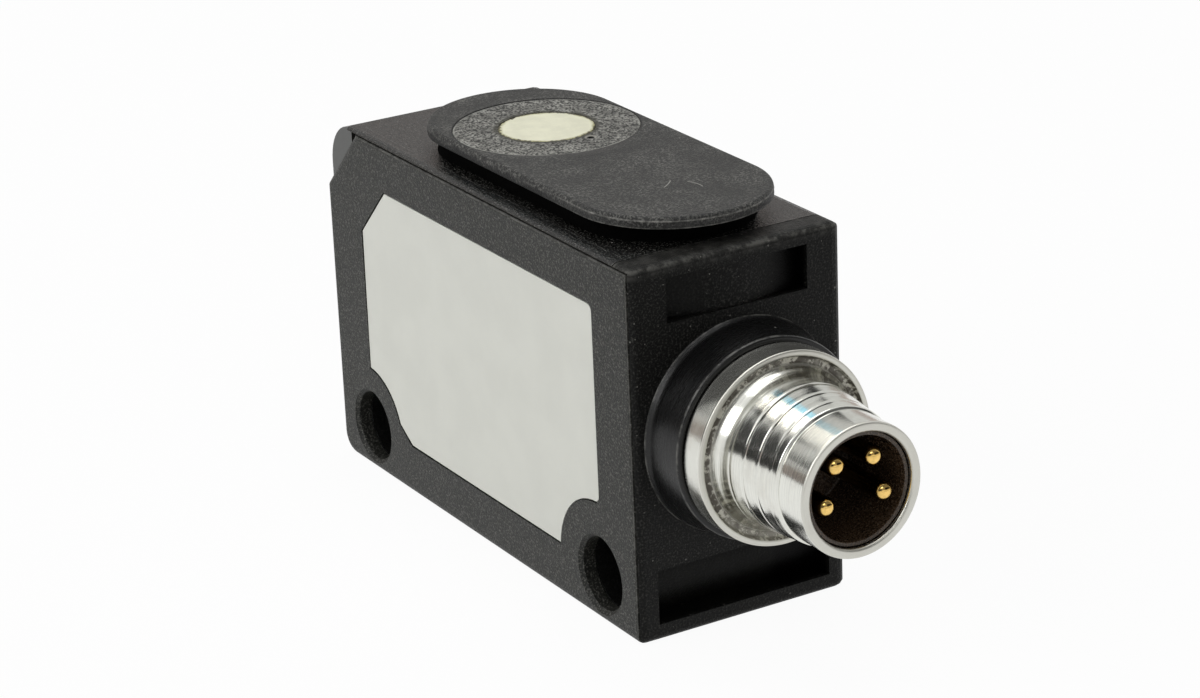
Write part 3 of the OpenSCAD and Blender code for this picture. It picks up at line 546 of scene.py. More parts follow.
def pad_finish(base, dust):
    """Rubbery coating, finely grained on top. Below the rounded edge, the side has ragged pale flecks, and it
    darkens and turns black towards its foot: painted shade, like the shade under the overhang. Two worn lines
    run round the plug's end and a thin one round the other, and two hairs lie on top. The attribute side is
    1 on the side."""
    material, tree, surface, place = new_material("pad_rubber")
    height, tone = effect(tree, "grain", coordinate=place, scale=8500.0)
    side = mesh_value(tree, "side")
    clouds = noise(tree, place, 420.0, 5.0)
    wear = noise(tree, place, 1500.0, 5.0, 0.7)
    streaks = noise(tree, stretched(tree, place, (1.0, 1.0, 0.15)), 3400.0, 3.0)
    shade = times(tree, remap(tree, tone, 0.25, 0.75, 0.4, 1.6), remap(tree, clouds, 0.35, 0.7, 0.75, 1.3))
    grain = times(tree, remap(tree, height, 0.48, 0.62), remap(tree, clouds, 0.3, 0.7, 0.12, 0.42))
    specks = effect(tree, "dust", coordinate=place, scale=1300.0, size=0.06, share=0.12)[0]

    # The side, by its depth below the top in millimetres
    x, _, z = split(tree, place)
    near_end = remap(tree, x, 5.5 * MM, 11.5 * MM)
    far_end = remap(tree, x, -6.5 * MM, -8.5 * MM)
    depth = scaled(tree, z, -1 / MM, PAD_HIGH[2])
    ragged = calc(tree, "ADD", depth, scaled(tree, streaks, 1.1, -0.55))
    # The lower side is painted darker, painted shade below the edge, and carries the ragged pale flecks
    wall = times(tree, side, remap(tree, ragged, 0.2, 0.3))
    flecks = times(
        tree, wall, remap(tree, wear, 0.45, 0.6, 0.1, 0.55), remap(tree, streaks, 0.45, 0.58),
        scaled(tree, near_end, -0.7, 1.0),
    )
    # Painted shade: the lower side turns black, a little less at the plug's end, like the shade under the
    # overhang
    black = times(tree, side, remap(tree, ragged, 0.3, 0.4), scaled(tree, near_end, -0.5, 0.95))
    pale = [hair_mask(tree, place, *hair) for hair in HAIRS]
    for at, half, strength, end in (
        (0.2, 0.06, 1.0, near_end), (0.56, 0.05, 0.5, near_end), (0.12, 0.06, 0.7, far_end),
    ):
        pale.append(times(tree, worn_line(tree, place, depth, at, half, 0.75, strength), side, end))

    gap = calc(tree, "SUBTRACT", distance_from(tree, place, TRANSDUCER_X, 0.0), RING_HIGH[1] * MM)
    seam = times(tree, fading(tree, gap, 0.05, 0.10), remap(tree, clouds, 0.3, 0.6, 0.3, 1.0))
    paint = layered(
        tree, shaded(tree, base, shade),
        (times(tree, wall, 0.7), (0.004, 0.004, 0.0037)),
        (strongest(tree, grain, times(tree, specks, 0.6), flecks), dust),
        (black, (0.0012, 0.0012, 0.0011)),
        (strongest(tree, *pale), dust),
        (seam, (0.001, 0.001, 0.001)),
    )
    connect(tree, surface, paint, scaled(tree, tone, 0.25, 0.42), height, 0.08, 0.38)
    return material


def hair_mask(tree, place, start, middle, end):
    """A thin hair along the circle through three places (x, y) in millimetres. With the places as complex
    numbers and w = (end - start) / (middle - start), the circle's centre is start + (middle - start) (w -
    |w|^2) / (2 i Im w)."""
    a, b, c = (complex(*point) for point in (start, middle, end))
    w = (c - a) / (b - a)
    centre = a + (b - a) * (w - abs(w) ** 2) / (2j * w.imag)
    radius, gap = (distance_from(tree, place, point.real, point.imag) for point in (centre, b))
    on_line = fading(tree, apart(tree, radius, abs(a - centre) * MM), 0.02, 0.04)
    reach = abs(c - a) / 2
    return times(tree, on_line, fading(tree, gap, reach, reach + 0.05))


def shadow_finish():
    """Painted shade under the pad: a near-black matte finish for the neck and the overhang's underside, with
    a faint grain.
    """
    material, tree, surface, place = new_material("neck_painted_shade")
    height, tone = effect(tree, "grain", coordinate=place, scale=7000.0)
    paint = shaded(tree, (0.0012, 0.0012, 0.0011), remap(tree, tone, 0.2, 0.8, 0.5, 1.5))
    connect(tree, surface, paint, scaled(tree, tone, 0.1, 0.8), height, 0.03, 0.03)
    return material


def ring_finish(base):
    """Casting compound: dark and pale specks of a tenth of a millimetre, a thin pale outline, and a pit."""
    material, tree, surface, place = new_material("ring_compound")
    grains = noise(tree, place, 8500.0, 1.5)
    patches = noise(tree, place, 1100.0, 3.0)
    shade = times(tree, remap(tree, grains, 0.38, 0.62, 0.1, 1.95), remap(tree, patches, 0.3, 0.7, 0.7, 1.35))
    radius = distance_from(tree, place, TRANSDUCER_X, 0.0)
    outline = fading(tree, apart(tree, radius, (RING_HIGH[1] - 0.07) * MM), 0.02, 0.07)
    outline = times(tree, outline, remap(tree, patches, 0.35, 0.6, 0.15, 0.75))
    inner = fading(tree, scaled(tree, patches, 0.5 * MM, radius), 2.95, 3.15, 0.75)
    gap = distance_from(tree, place, TRANSDUCER_X + PIT[0], PIT[1])
    paint = layered(
        tree, shaded(tree, base, shade),
        (outline, (0.34, 0.34, 0.31)),
        (inner, (0.045, 0.043, 0.03)),
        (fading(tree, gap, 0.28, 0.34, 0.8), (0.36, 0.35, 0.31)),
        (fading(tree, gap, 0.18, 0.22), (0.001, 0.001, 0.001)),
    )
    connect(tree, surface, paint, scaled(tree, grains, 0.3, 0.35), grains, 0.06, 0.15)
    return material


def face_finish(base):
    """Cream matching layer: faint mottling, a fine chalky grain, and a yellowish edge with dark crumbs."""
    material, tree, surface, place = new_material("sound_face_compound")
    mottle = noise(tree, place, 900.0, 5.0, 0.6)
    crumbs = noise(tree, place, 4200.0, 3.0, 0.6)
    height, tone = effect(tree, "grain", coordinate=place, scale=9000.0)
    radius = distance_from(tree, place, TRANSDUCER_X, 0.0)
    edge = remap(tree, scaled(tree, mottle, 0.5 * MM, radius), 2.55 * MM, 2.8 * MM)
    rim = remap(tree, scaled(tree, crumbs, 0.6 * MM, radius), 2.74 * MM, 2.82 * MM)
    paint = shaded(tree, base, remap(tree, mottle, 0.3, 0.7, 0.92, 1.03))
    paint = layered(tree, paint, (edge, (0.48, 0.46, 0.24)), (rim, (0.10, 0.09, 0.045)))
    connect(tree, surface, paint, scaled(tree, tone, 0.1, 0.6), height, 0.006)
    return material


def label_finish(base):
    """Bare satin film: an even pale grey with the faintest mottling and a fine film texture."""
    material, tree, surface, place = new_material("label_film")
    mottle = noise(tree, place, 350.0, 4.0)
    fine = noise(tree, place, 16000.0, 2.0)
    paint = shaded(tree, base, remap(tree, mottle, 0.3, 0.7, 0.975, 1.02))
    connect(tree, surface, paint, scaled(tree, fine, 0.12, 0.36), fine, 0.0015)
    return material


def collar_finish(base, dust):
    """Glossy black collar: faint turning marks, dust, and dusty lines at its foot and at its front edge."""
    material, tree, surface, place = new_material("collar_plastic")
    x = split(tree, place)[0]
    marks = noise(tree, stretched(tree, place, (9.0, 1.0, 1.0)), 900.0, 5.0, 0.7)
    specks = effect(tree, "dust", coordinate=place, scale=1500.0, size=0.08, share=0.22)[0]
    foot = worn_line(tree, place, x, (COLLAR_LOW[0] + 2.42) * MM, 0.1 * MM, 0.85, 0.4)
    front = worn_line(tree, place, x, (COLLAR_HIGH[0] - 0.12) * MM, 0.09 * MM, 0.9, 0.4)
    paint = layered(tree, base, (strongest(tree, specks, foot, front), dust))
    connect(tree, surface, paint, scaled(tree, marks, 0.25, 0.15), marks, 0.01, 0.35)
    return material


def metal_finish(base):
    """Bright plating over turned brass: fine rings across the axis, faint stains, a duller rim where the
    attribute dull is 1, and a crumbly pale residue with dark veins where the attribute residue is 1."""
    material, tree, surface, place = new_material("nickel")
    rings = noise(tree, stretched(tree, place, (40.0, 1.0, 1.0)), 300.0, 4.0, 0.6)
    stains = noise(tree, place, 520.0, 6.0, 0.65)
    crumbs = noise(tree, place, 2300.0, 6.0, 0.7)
    residue, dull = mesh_value(tree, "residue"), mesh_value(tree, "dull")
    shore = times(tree, remap(tree, residue, 0.3, 1.0), remap(tree, stains, 0.38, 0.55, 0.6, 1.0))
    paint = layered(
        tree, base,
        (remap(tree, stains, 0.4, 0.7, 0.0, 0.5), (0.60, 0.58, 0.52)),
        (remap(tree, rings, 0.35, 0.65, 0.0, 0.3), (0.55, 0.55, 0.52)),
        (times(tree, dull, 0.6), (0.52, 0.51, 0.46)),
        (times(tree, residue, 0.8), (0.52, 0.50, 0.42)),
        (times(tree, shore, remap(tree, crumbs, 0.42, 0.50, 0.0, 0.95)), (0.05, 0.04, 0.027)),
    )
    dulled = times(tree, strongest(tree, residue, dull), 0.25)
    rough = calc(tree, "ADD", scaled(tree, rings, 0.1, 0.1), dulled, clamp=True)
    tree.links.new(scaled(tree, residue, -0.8, 1.0), surface.inputs["Metallic"])
    height = scaled(tree, times(tree, residue, crumbs), 12.0, rings)
    connect(tree, surface, paint, rough, height, 0.004)
    return material


def gold_finish(base):
    """Gold plating with fine turning marks, and painted shade that darkens each pin away from its tip, down
    in the bore.
    """
    material, tree, surface, place = new_material("gold")
    marks = noise(tree, place, 5000.0, 3.0)
    tip = corners(PIN_NODES[0])[1][0]
    # Painted shade: darker away from the tip
    painted_bore_shade = remap(tree, split(tree, place)[0], (tip - 0.42) * MM, (tip - 0.06) * MM, 0.25, 1.0)
    paint = shaded(tree, base, times(tree, painted_bore_shade, remap(tree, marks, 0.3, 0.7, 0.88, 1.08)))
    surface.inputs["Metallic"].default_value = 1.0
    connect(tree, surface, paint, scaled(tree, marks, 0.1, 0.08), marks, 0.002)
    return material


def window_finish(base):
    """Grey translucent plastic that scatters light under a smooth surface."""
    material, tree, surface, place = new_material("window_plastic")
    haze = noise(tree, place, 600.0, 4.0)
    paint = shaded(tree, base, remap(tree, haze, 0.3, 0.7, 0.85, 1.12))
    surface.inputs["Transmission Weight"].default_value = 0.25
    surface.inputs["IOR"].default_value = 1.49
    connect(tree, surface, paint, scaled(tree, haze, 0.15, 0.2), haze, 0.003)
    return material


def inner_finish(name, base, roughness, metallic):
    """A part inside the housing: its colour with a fine variation, and a light bump."""
    material, tree, surface, place = new_material(name)
    height, tone = effect(tree, "grain", coordinate=place, scale=5000.0)
    paint = shaded(tree, base, remap(tree, tone, 0.2, 0.8, 0.85, 1.12))
    surface.inputs["Metallic"].default_value = metallic
    connect(tree, surface, paint, scaled(tree, tone, 0.1, roughness - 0.05), height, 0.004)
    return material


# Pieces


def plug_shell_surface(sizes):
    """The metal shell: a closed profile turned about the plug's axis. Over the thread, which tapers a little
    towards the nose, the radius is lowered by d g(f), where f is the fraction of (x - x0) / pitch -
    angle / turn and g is a narrow rounded groove, and by a slight crown between the grooves."""
    mm = 1 / MM
    flange, nose, bore = sizes.flange_radius * mm, sizes.nose_radius * mm, sizes.bore_radius * mm
    thread, neck, hollow = sizes.thread_radius * mm, sizes.neck_radius * mm, sizes.hollow_depth * mm
    back, rim = SHELL_LOW[0], SHELL_HIGH[0]
    flange_back = COLLAR_HIGH[0] + 0.06
    flange_front = flange_back + sizes.flange_width * mm
    nose_back = rim - sizes.nose_length * mm
    stem, lip = 4.2, 0.3
    points = [
        (back, bore), (back, stem), (flange_back, stem), (flange_back, flange), (flange_front, flange),
        (flange_front, flange - lip), (flange_front - hollow, flange - 0.42),
        (flange_front - hollow, flange - 0.72), (flange_front + 0.3, thread + 0.08),
        (flange_front + 0.8, thread), (nose_back - 0.16, neck), (nose_back - 0.05, nose - 0.06),
        (nose_back + 0.04, nose), (rim, nose), (rim, bore + 0.1), (rim - 0.14, bore), (back, bore),
    ]
    radii = [0, 0.1, 0.05, 0.14, 0.18, 0.1, 0.08, 0.12, 0.3, 0.3, 0.06, 0.05, 0.04, 0.16, 0.08, 0.08, 0]
    profile = dense(rounded(points, radii), 0.06)[:-1]
    x, radius = profile[:, :1], profile[:, 1:]
    outside = radius > bore + 0.3

    # The thread fades in and out over 0.3 mm at its ends
    columns, thread_start, groove_width, crown_height = 168, 0.7, 0.08, 0.004
    turn = np.linspace(0, 1, columns, endpoint=False)[None, :]
    starts = np.clip((x - flange_front - thread_start) / 0.3, 0, 1)
    ends = np.clip((nose_back - 0.45 - x) / 0.3, 0, 1)
    fraction = ((x - flange_front - thread_start - 0.15) / (sizes.thread_pitch * mm) - turn) % 1.0
    groove = sizes.thread_depth * mm * np.exp(-(((fraction - 0.5) / groove_width) ** 2))
    crown = crown_height * (1 + np.cos(2 * np.pi * fraction))
    lowered = starts * ends * (outside & (x > flange_front)) * (groove + crown)

    hollowed = (x > flange_front - hollow - 0.05) & (x < flange_front + 0.2)
    hollowed = hollowed & outside & (radius < flange - lip)
    flange_side = (x > flange_back) & (x < flange_front) & (radius > flange - 0.2)
    residue = hollowed * np.clip((radius - flange + 0.85) / 0.15, 0, 1) + 0.12 * flange_side * (1 - hollowed)
    rim_face = (x > rim - 0.12) & (radius > bore + 0.02)
    flange_face = (x > flange_front - 0.1) & (radius > flange - lip - 0.02)
    values = {"residue": residue, "dull": rim_face | flange_face}
    return turned_along_x(x, radius - lowered, PLUG_HEIGHT, columns), values


def collar_surface(sizes):
    """The black collar: a closed profile turned about the plug's axis, with a small fillet at its foot."""
    mm = 1 / MM
    foot, front = sizes.collar_foot * mm, sizes.collar_front * mm
    back, face, tip = COLLAR_LOW[0], HOUSING_HIGH[0], COLLAR_HIGH[0]
    inner, shank = 4.24, 4.85
    points = [
        (back, inner), (back, shank), (face + 0.002, shank), (face + 0.002, foot + 0.04), (face + 0.07, foot),
        (face + 0.3, foot - 0.12), (tip, front), (tip, inner), (back, inner),
    ]
    radii = [0, 0.05, 0.02, 0.01, 0.05, 0.15, 0.17, 0.05, 0]
    profile = dense(rounded(points, radii), 0.12)[:-1]
    return turned_along_x(profile[:, 0], profile[:, 1], PLUG_HEIGHT, 224)


def pin_surface(node, radius):
    """A contact pin: a straight shaft that ends in a half round tip, turned about its own line."""
    low, high = corners(node)
    centre = (low + high) / 2
    t = np.linspace(0, np.pi / 2, 14)
    tip_x = high[0] - radius + radius * np.sin(t)
    x = np.concatenate([[low[0], low[0]], np.linspace(low[0], high[0] - radius, 12)[1:-1], tip_x])
    r = np.concatenate([[0.0], np.full(11, radius), radius * np.cos(t)])
    return turned_along_x(x, r, centre[2], 48, centre[1])


def stadium(t, half, radius, shift):
    """Points of a stadium outline for t from 0 to 4: the near arc, the back side, the far arc and the front
    side, one unit of t each. An arc's point is the centre plus the radius at its angle."""
    turn = np.pi * (np.minimum(t, 1) - 0.5) + np.pi * (np.clip(t, 2, 3) - 2)
    near, far = shift + half, shift - half
    back, front = near + (far - near) * (t - 1), far + (near - far) * (t - 3)
    centre = np.select([t < 1, t < 2, t < 3], [near, back, far], front)
    return centre + radius * np.cos(turn), radius * np.sin(turn)


def pad_surface(sizes):
    """The sensing pad: rings of points that all follow the same stadium parameter. From the neck's foot they
    run up, out under the overhang, up the wall, over the rounded edge, and across the top to the ring's
    round recess, whose point lies at the same angle from the transducer's centre. Then they go down the
    recess and the cup's bore and close at the foot."""
    mm = 1 / MM
    top, foot = PAD_HIGH[2], PAD_LOW[2]
    bottom = top - sizes.plate * mm
    radius = PAD_HIGH[1]
    half = (PAD_HIGH[0] - PAD_LOW[0]) / 2 - radius
    middle = (PAD_HIGH[0] + PAD_LOW[0]) / 2
    setback, hang = sizes.setback * mm, sizes.overhang * mm
    arc_steps, side_steps = 200, 130
    t = np.concatenate([
        start + np.linspace(0, 1, steps, endpoint=False)
        for start, steps in enumerate((arc_steps, side_steps, arc_steps, side_steps))
    ])
    rows, side, under = [], [], []

    def keep(x, y, z, on_side=0.0, below=0.0):
        rows.append(np.stack([x, y, np.full_like(x, z)], -1))
        side.append(np.full_like(x, on_side))
        under.append(below)

    def wall_ring(inset, z, uneven=0.0):
        # In the relief a unit of t counts as 15.4 mm and height ninefold, so uneven places are long and low
        x, y = stadium(t, half, radius - inset, middle)
        along, height = t * 15.4, np.full_like(t, z * 9.0)
        bump = relief(along, height, 0.45, 7) * 0.6 + relief(along, height, 0.16, 8) * 0.4
        centre_x = np.clip(x, middle - half, middle + half)
        scale = 1 + uneven * bump / np.maximum(np.hypot(x - centre_x, y), 1e-6)
        keep(centre_x + (x - centre_x) * scale, y * scale, z, 1.0)

    for z in np.linspace(foot, bottom - 0.04, 6):
        keep(*stadium(t, half - setback / 2, radius - hang, middle - setback / 2), z, 0.0, 1.0)
    for inset in (hang - 0.05, 0.1):
        keep(*stadium(t, half, radius - inset, middle), bottom, 0.0, 1.0)
    wide, high = sizes.edge_width * mm, sizes.edge_height * mm
    wall_ring(0.03, bottom + 0.02)
    for z in np.linspace(bottom + 0.05, top - high - 0.02, 8):
        wall_ring(0.02, z, sizes.roughness * mm)
    for a in np.linspace(0, 90, 9) * np.pi / 180:
        wall_ring(0.025 + wide * (1 - math.cos(a)), top - high + high * math.sin(a))
    inner_x, inner_y = stadium(t, half, radius - wide - 0.03, middle)
    turn = np.arctan2(inner_y, inner_x - TRANSDUCER_X)
    recess, cup_bore = RING_HIGH[1] + 0.02, 4.24
    rim_x, rim_y = TRANSDUCER_X + recess * np.cos(turn), recess * np.sin(turn)
    for s in np.linspace(0, 1, 16):
        keep(inner_x + (rim_x - inner_x) * s, inner_y + (rim_y - inner_y) * s, top)
    for r, z in ((recess, RING_LOW[2]), (cup_bore, RING_LOW[2]), (cup_bore, foot)):
        keep(TRANSDUCER_X + r * np.cos(turn), r * np.sin(turn), z)
    return np.array(rows), {"side": np.array(side)}, under


def ring_surface(sizes):
    """The speckled ring: a closed profile turned about the transducer's line. Its top is crowned by a few
    hundredths, carries two sizes of random relief, and ends in an uneven lip over the sound face."""
    outer, top, foot = RING_HIGH[1], RING_HIGH[2], RING_LOW[2]
    inner = FACE_HIGH[1] + 0.04
    columns, rings = 520, 46
    a = circle(columns)
    s = np.linspace(0, 1, rings)[:, None]
    edge_x, edge_y = np.cos(a) * 2.6, np.sin(a) * 2.6
    lip = inner - 0.03 - 0.05 * relief(edge_x, edge_y, 0.5, 3) - 0.03 * relief(edge_x, edge_y, 0.17, 4)
    radius = (outer - 0.02) + (lip - outer + 0.02) * s
    x, y = radius * np.cos(a), radius * np.sin(a)
    grain = 0.6 * relief(x, y, 0.16, 11) + 0.4 * relief(x, y, 0.3, 12)
    fade = np.minimum(1, np.minimum(s, 1 - s) * 12)
    depth = sizes.ring_relief / MM
    z = top - 0.03 * (1 - fade) - depth * (1 + grain) * 0.5 * fade - 0.012 * np.sin(np.pi * s)
    pit_depth, pit_spread = 0.15, 0.03
    z = z - pit_depth * np.exp(-(((x - PIT[0]) ** 2 + (y - PIT[1]) ** 2) / pit_spread))
    even = np.ones_like(a)
    rows_r = np.concatenate([even * inner, even * outer, even * outer, radius, lip])
    rows_z = np.concatenate([even * foot, even * foot, even * (top - 0.06), z, even * (FACE_HIGH[2] - 0.02)])
    return turned_along_z(rows_r, rows_z, columns)


def face_surface():
    """The sound face: a flat disc with a softly rounded edge, turned about the transducer's line."""
    radius, top, foot = FACE_HIGH[1], FACE_HIGH[2], FACE_LOW[2]
    points = [(0.0, foot), (radius, foot), (radius, top), (0.0, top)]
    profile = dense(rounded(points, [0, 0.05, 0.08, 0]), 0.15)
    r, z = profile[:, :1], profile[:, 1:]
    columns, unevenness = 160, 0.006
    a = circle(columns)
    uneven = unevenness * relief(r * np.cos(a), r * np.sin(a), 0.5, 21) * (z > top - 0.01)
    return turned_along_z(r, z + uneven, columns)


def carrier_surface(sizes):
    """The contact carrier: a stepped body turned about the plug's axis, whose thin sleeve lines the bore and
    carries a few fine rings, r = R - h (1 + cos(turns x)) / 2."""
    mm = 1 / MM
    outer = sizes.bore_radius * mm - 0.04
    inner = outer - sizes.sleeve_wall * mm
    back, sleeve_front = CARRIER_LOW[0], CARRIER_HIGH[0]
    floor = SHELL_HIGH[0] - sizes.bore_depth * mm
    step, body = SHELL_LOW[0], 3.8
    points = [
        (back, 0.0), (back, body), (step, body), (step, outer), (sleeve_front, outer), (sleeve_front, inner),
        (floor, inner), (floor, 0.0),
    ]
    profile = dense(rounded(points, [0, 0.1, 0.03, 0.03, 0.04, 0.06, 0.1, 0]), 0.06)
    x, radius = profile[:, 0], profile[:, 1]
    lined = (x > floor + 0.3) & (x < sleeve_front - 0.1) & (radius < inner + 0.01)
    radius = radius - lined * 0.006 * (1 + np.cos(2 * np.pi * x / 0.28))
    return turned_along_x(x, radius, PLUG_HEIGHT, 160)


# Operators


def wear(node, material):
    """Gives a solid its finish in its own material slots."""
    for material_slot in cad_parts[node].material_slots:
        material_slot.material = material


class SENSOR_OT_housing(bpy.types.Operator):
    """Finish the housing, the side cover and the head plate"""

    bl_idname = "sensor.housing"
    bl_label = "Housing"

    def execute(self, context):
        colours = context.scene.sensor_finishes
        black, dust = tuple(colours.housing), tuple(colours.dust)
        top, front = HOUSING_HIGH[2], HOUSING_LOW[1]
        wear("housing", moulded_finish(
            "housing_plastic", black, dust, specks=0.4, roughness=0.42, gloss=0.11, flecks=0.1,
            lines=[("Z", top - 0.14, 0.2, 0.35), ("Z", top - 0.42, 0.25, 0.12)],
            core=(HOUSING_LOW, HOUSING_HIGH),
        ))
        wear("side_cover", moulded_finish(
            "cover_plastic", tuple(colours.cover), dust, specks=0.06, roughness=0.48, gloss=0.26, flecks=0.32,
            lines=[("Z", COVER_HIGH[2] - 0.05, 0.09, 0.35), ("X", COVER_HIGH[0] - 0.04, 0.09, 0.3)],
        ))
        wear("head_plate", moulded_finish(
            "head_plastic", black, dust, specks=0.3, roughness=0.2, gloss=0.36, flecks=0.25,
            lines=[
                ("X", HEAD_HIGH[0] - 0.03, 0.06, 0.35), ("Y", front + 0.41, 0.04, 0.2),
                ("Y", front + 0.75, 0.05, 0.25),
            ],
            # The first dark line is the seam at the plate's end; the second, along Y beside the pad, is
            # painted shade from the pad's overhang
            seams_and_painted_shade=[("X", HEAD_HIGH[0] - 0.13, 0.09, 1.0), ("Y", front + 0.58, 0.16, 0.9)],
            bump=0.06,
        ))
        return {"FINISHED"}


class SENSOR_OT_label(bpy.types.Operator):
    """Finish the bare label"""

    bl_idname = "sensor.label"
    bl_label = "Label"

    def execute(self, context):
        wear("label_plate", label_finish(tuple(context.scene.sensor_finishes.label)))
        return {"FINISHED"}


class SENSOR_OT_window(bpy.types.Operator):
    """Finish the light window"""

    bl_idname = "sensor.window"
    bl_label = "Light window"

    def execute(self, context):
        wear("light_window", window_finish(tuple(context.scene.sensor_finishes.window)))
        return {"FINISHED"}


class SENSOR_OT_pad(bpy.types.Operator):
    """Make the sensing pad with its speckled ring and sound face"""

    bl_idname = "sensor.pad"
    bl_label = "Sensing pad"

    def execute(self, context):
        sizes, colours = context.scene.sensor_pad, context.scene.sensor_finishes
        points, values, under = pad_surface(sizes)
        rubber = pad_finish(tuple(colours.pad), tuple(colours.dust))
        # The neck and the overhang's underside take the painted shade
        painted_shade_below = (shadow_finish(), under)
        pad = to_object("sensing_pad", points, True, True, rubber, values, painted_shade_below)
        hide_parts("sensor_pad")
        compound = ring_finish(tuple(colours.ring))
        ring = to_object("speckled_ring", ring_surface(sizes), True, True, compound)
        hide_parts("transducer_ring")
        cream = face_finish(tuple(colours.face))
        face = to_object("cream_disc", face_surface(), False, True, cream)
        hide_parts("sound_face")
        return {"FINISHED"}


class SENSOR_OT_plug(bpy.types.Operator):
    """Make the plug: collar, threaded shell, contact carrier and pins"""

    bl_idname = "sensor.plug"
    bl_label = "Plug"

    def execute(self, context):
        sizes, colours = context.scene.sensor_plug, context.scene.sensor_finishes
        points, values = plug_shell_surface(sizes)
        nickel = metal_finish(tuple(colours.metal))
        shell = to_object("threaded_shell", points, True, True, nickel, values)
        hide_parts("plug_shell")
        glossy = collar_finish(tuple(colours.collar), tuple(colours.dust))
        collar = to_object("black_collar", collar_surface(sizes), True, True, glossy)
        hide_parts("plug_collar")
        brown = moulded_finish(
            "carrier_plastic", (0.05, 0.03, 0.017), (0.22, 0.2, 0.15), specks=0.25, roughness=0.25,
            gloss=0.45, flecks=0.15,
        )
        carrier = to_object("pin_carrier", carrier_surface(sizes), False, True, brown)
        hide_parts("contact_carrier")
        gold = gold_finish(tuple(colours.gold))
        for number, node in enumerate(PIN_NODES, 1):
            points = pin_surface(node, sizes.pin_radius / MM)
            pin = to_object(f"gold_pin_{number}", points, False, True, gold)
            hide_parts(node)
        return {"FINISHED"}


INNER = {
    "transducer_cup": ("cup_metal", (0.6, 0.6, 0.62), 0.35, 1.0),
    "isolating_sleeve": ("silicone", (0.2, 0.22, 0.25), 0.6, 0.0),
    "piezo_disc": ("piezo_ceramic", (0.55, 0.52, 0.42), 0.5, 0.0),
    "backing_foam": ("foam", (0.6, 0.48, 0.22), 0.9, 0.0),
    "transducer_lead_1": ("wire_red", (0.4, 0.02, 0.015), 0.4, 0.0),
    "transducer_lead_2": ("wire_black", (0.015, 0.015, 0.015), 0.4, 0.0),
    "plug_seal": ("seal_rubber", (0.02, 0.02, 0.02), 0.55, 0.0),
    "plug_wire_1": ("wire_brown", (0.1, 0.035, 0.015), 0.4, 0.0),
    "plug_wire_2": ("wire_white", (0.75, 0.75, 0.72), 0.4, 0.0),
    "plug_wire_3": ("wire_blue", (0.02, 0.05, 0.3), 0.4, 0.0),
    "plug_wire_4": ("wire_dark", (0.015, 0.015, 0.015), 0.4, 0.0),
    "main_board": ("board", (0.015, 0.1, 0.04), 0.3, 0.0),
    "microcontroller": ("chip", (0.012, 0.012, 0.013), 0.45, 0.0),
    "amplifier_chip": ("chip_small", (0.012, 0.012, 0.013), 0.45, 0.0),
    "drive_transformer": ("ferrite", (0.05, 0.048, 0.045), 0.6, 0.0),
    "voltage_regulator": ("chip_regulator", (0.012, 0.012, 0.013), 0.45, 0.0),
    "filter_capacitor": ("capacitor_tan", (0.45, 0.25, 0.08), 0.45, 0.0),
    "resonator": ("resonator_metal", (0.6, 0.6, 0.58), 0.3, 1.0),
    "ceramic_capacitors": ("ceramic", (0.4, 0.27, 0.14), 0.5, 0.0),
    "resistors": ("resistor_body", (0.015, 0.015, 0.017), 0.4, 0.0),
    "green_led": ("led_green", (0.1, 0.5, 0.18), 0.25, 0.0),
    "yellow_led": ("led_yellow", (0.75, 0.5, 0.06), 0.25, 0.0),
}


class SENSOR_OT_inner_parts(bpy.types.Operator):
    """Finish the parts inside the housing"""

    bl_idname = "sensor.inner_parts"
    bl_label = "Inner parts"

    def execute(self, context):
        for node, (name, base, roughness, metallic) in INNER.items():
            wear(node, inner_finish(name, base, roughness, metallic))
        return {"FINISHED"}


def lamp(name, power, size, place, target):
    """A square soft lamp at a place in metres, turned towards its target."""
    data = bpy.data.lights.new(name, "AREA")
    data.energy = power
    data.size = size
    thing = bpy.data.objects.new(name, data)
    bpy.context.scene.collection.objects.link(thing)
    thing.location = place
    thing.rotation_euler = (Vector(target) - Vector(place)).to_track_quat("-Z", "Y").to_euler()


def stage_mesh(name, points, faces, material):
    """A piece of the stage with one material, from points in metres."""
    mesh = bpy.data.meshes.new(name)
    mesh.from_pydata(points, [], faces)
    mesh.materials.append(material)
    thing = bpy.data.objects.new(name, mesh)
    bpy.context.scene.collection.objects.link(thing)
    return thing


def seen(tree):
    """1 for what the camera, mirrors and glass see, and 0 for light."""
    path = tree.nodes.new("ShaderNodeLightPath").outputs
    return strongest(tree, path["Is Camera Ray"], path["Is Glossy Ray"], path["Is Transmission Ray"])


def make_floor(shade):
    """A wide disc that the camera, mirrors and glass see nearly white, and that keeps a soft shadow. Its
    points are (r cos a, r sin a, 0) on three rings."""
    material, tree, surface, _ = new_material("pale_floor")
    surface.inputs["Base Color"].default_value = (*shade, 1.0)
    surface.inputs["Roughness"].default_value = 0.9
    white = add(tree, "ShaderNodeEmission", {"Color": WHITE, "Strength": 1.0})
    inputs = {0: times(tree, seen(tree), 0.95), 1: surface.outputs[0], 2: white.outputs[0]}
    mix = add(tree, "ShaderNodeMixShader", inputs)
    tree.links.new(mix.outputs[0], tree.nodes["Material Output"].inputs[0])
    a = circle(96)
    r = np.array([3.0, 0.3, 0.0])[:, None]
    points = np.stack([r * np.cos(a), r * np.sin(a), np.zeros((3, 96))], -1)
    floor = stage_mesh("floor", points.reshape(-1, 3).tolist(), grid_quads(3, 96, False, True), material)


def make_room(light):
    """The world: nearly white to the camera, mirrors and glass, and grey as light."""
    world = bpy.data.worlds.new("room")
    bpy.context.scene.world = world
    world.use_nodes = True
    tree = world.node_tree
    tree.nodes.clear()
    strength = scaled(tree, seen(tree), 0.98 - light, light)
    background = add(tree, "ShaderNodeBackground", {"Color": WHITE, "Strength": strength})
    tree.links.new(background.outputs[0], tree.nodes.new("ShaderNodeOutputWorld").inputs[0])


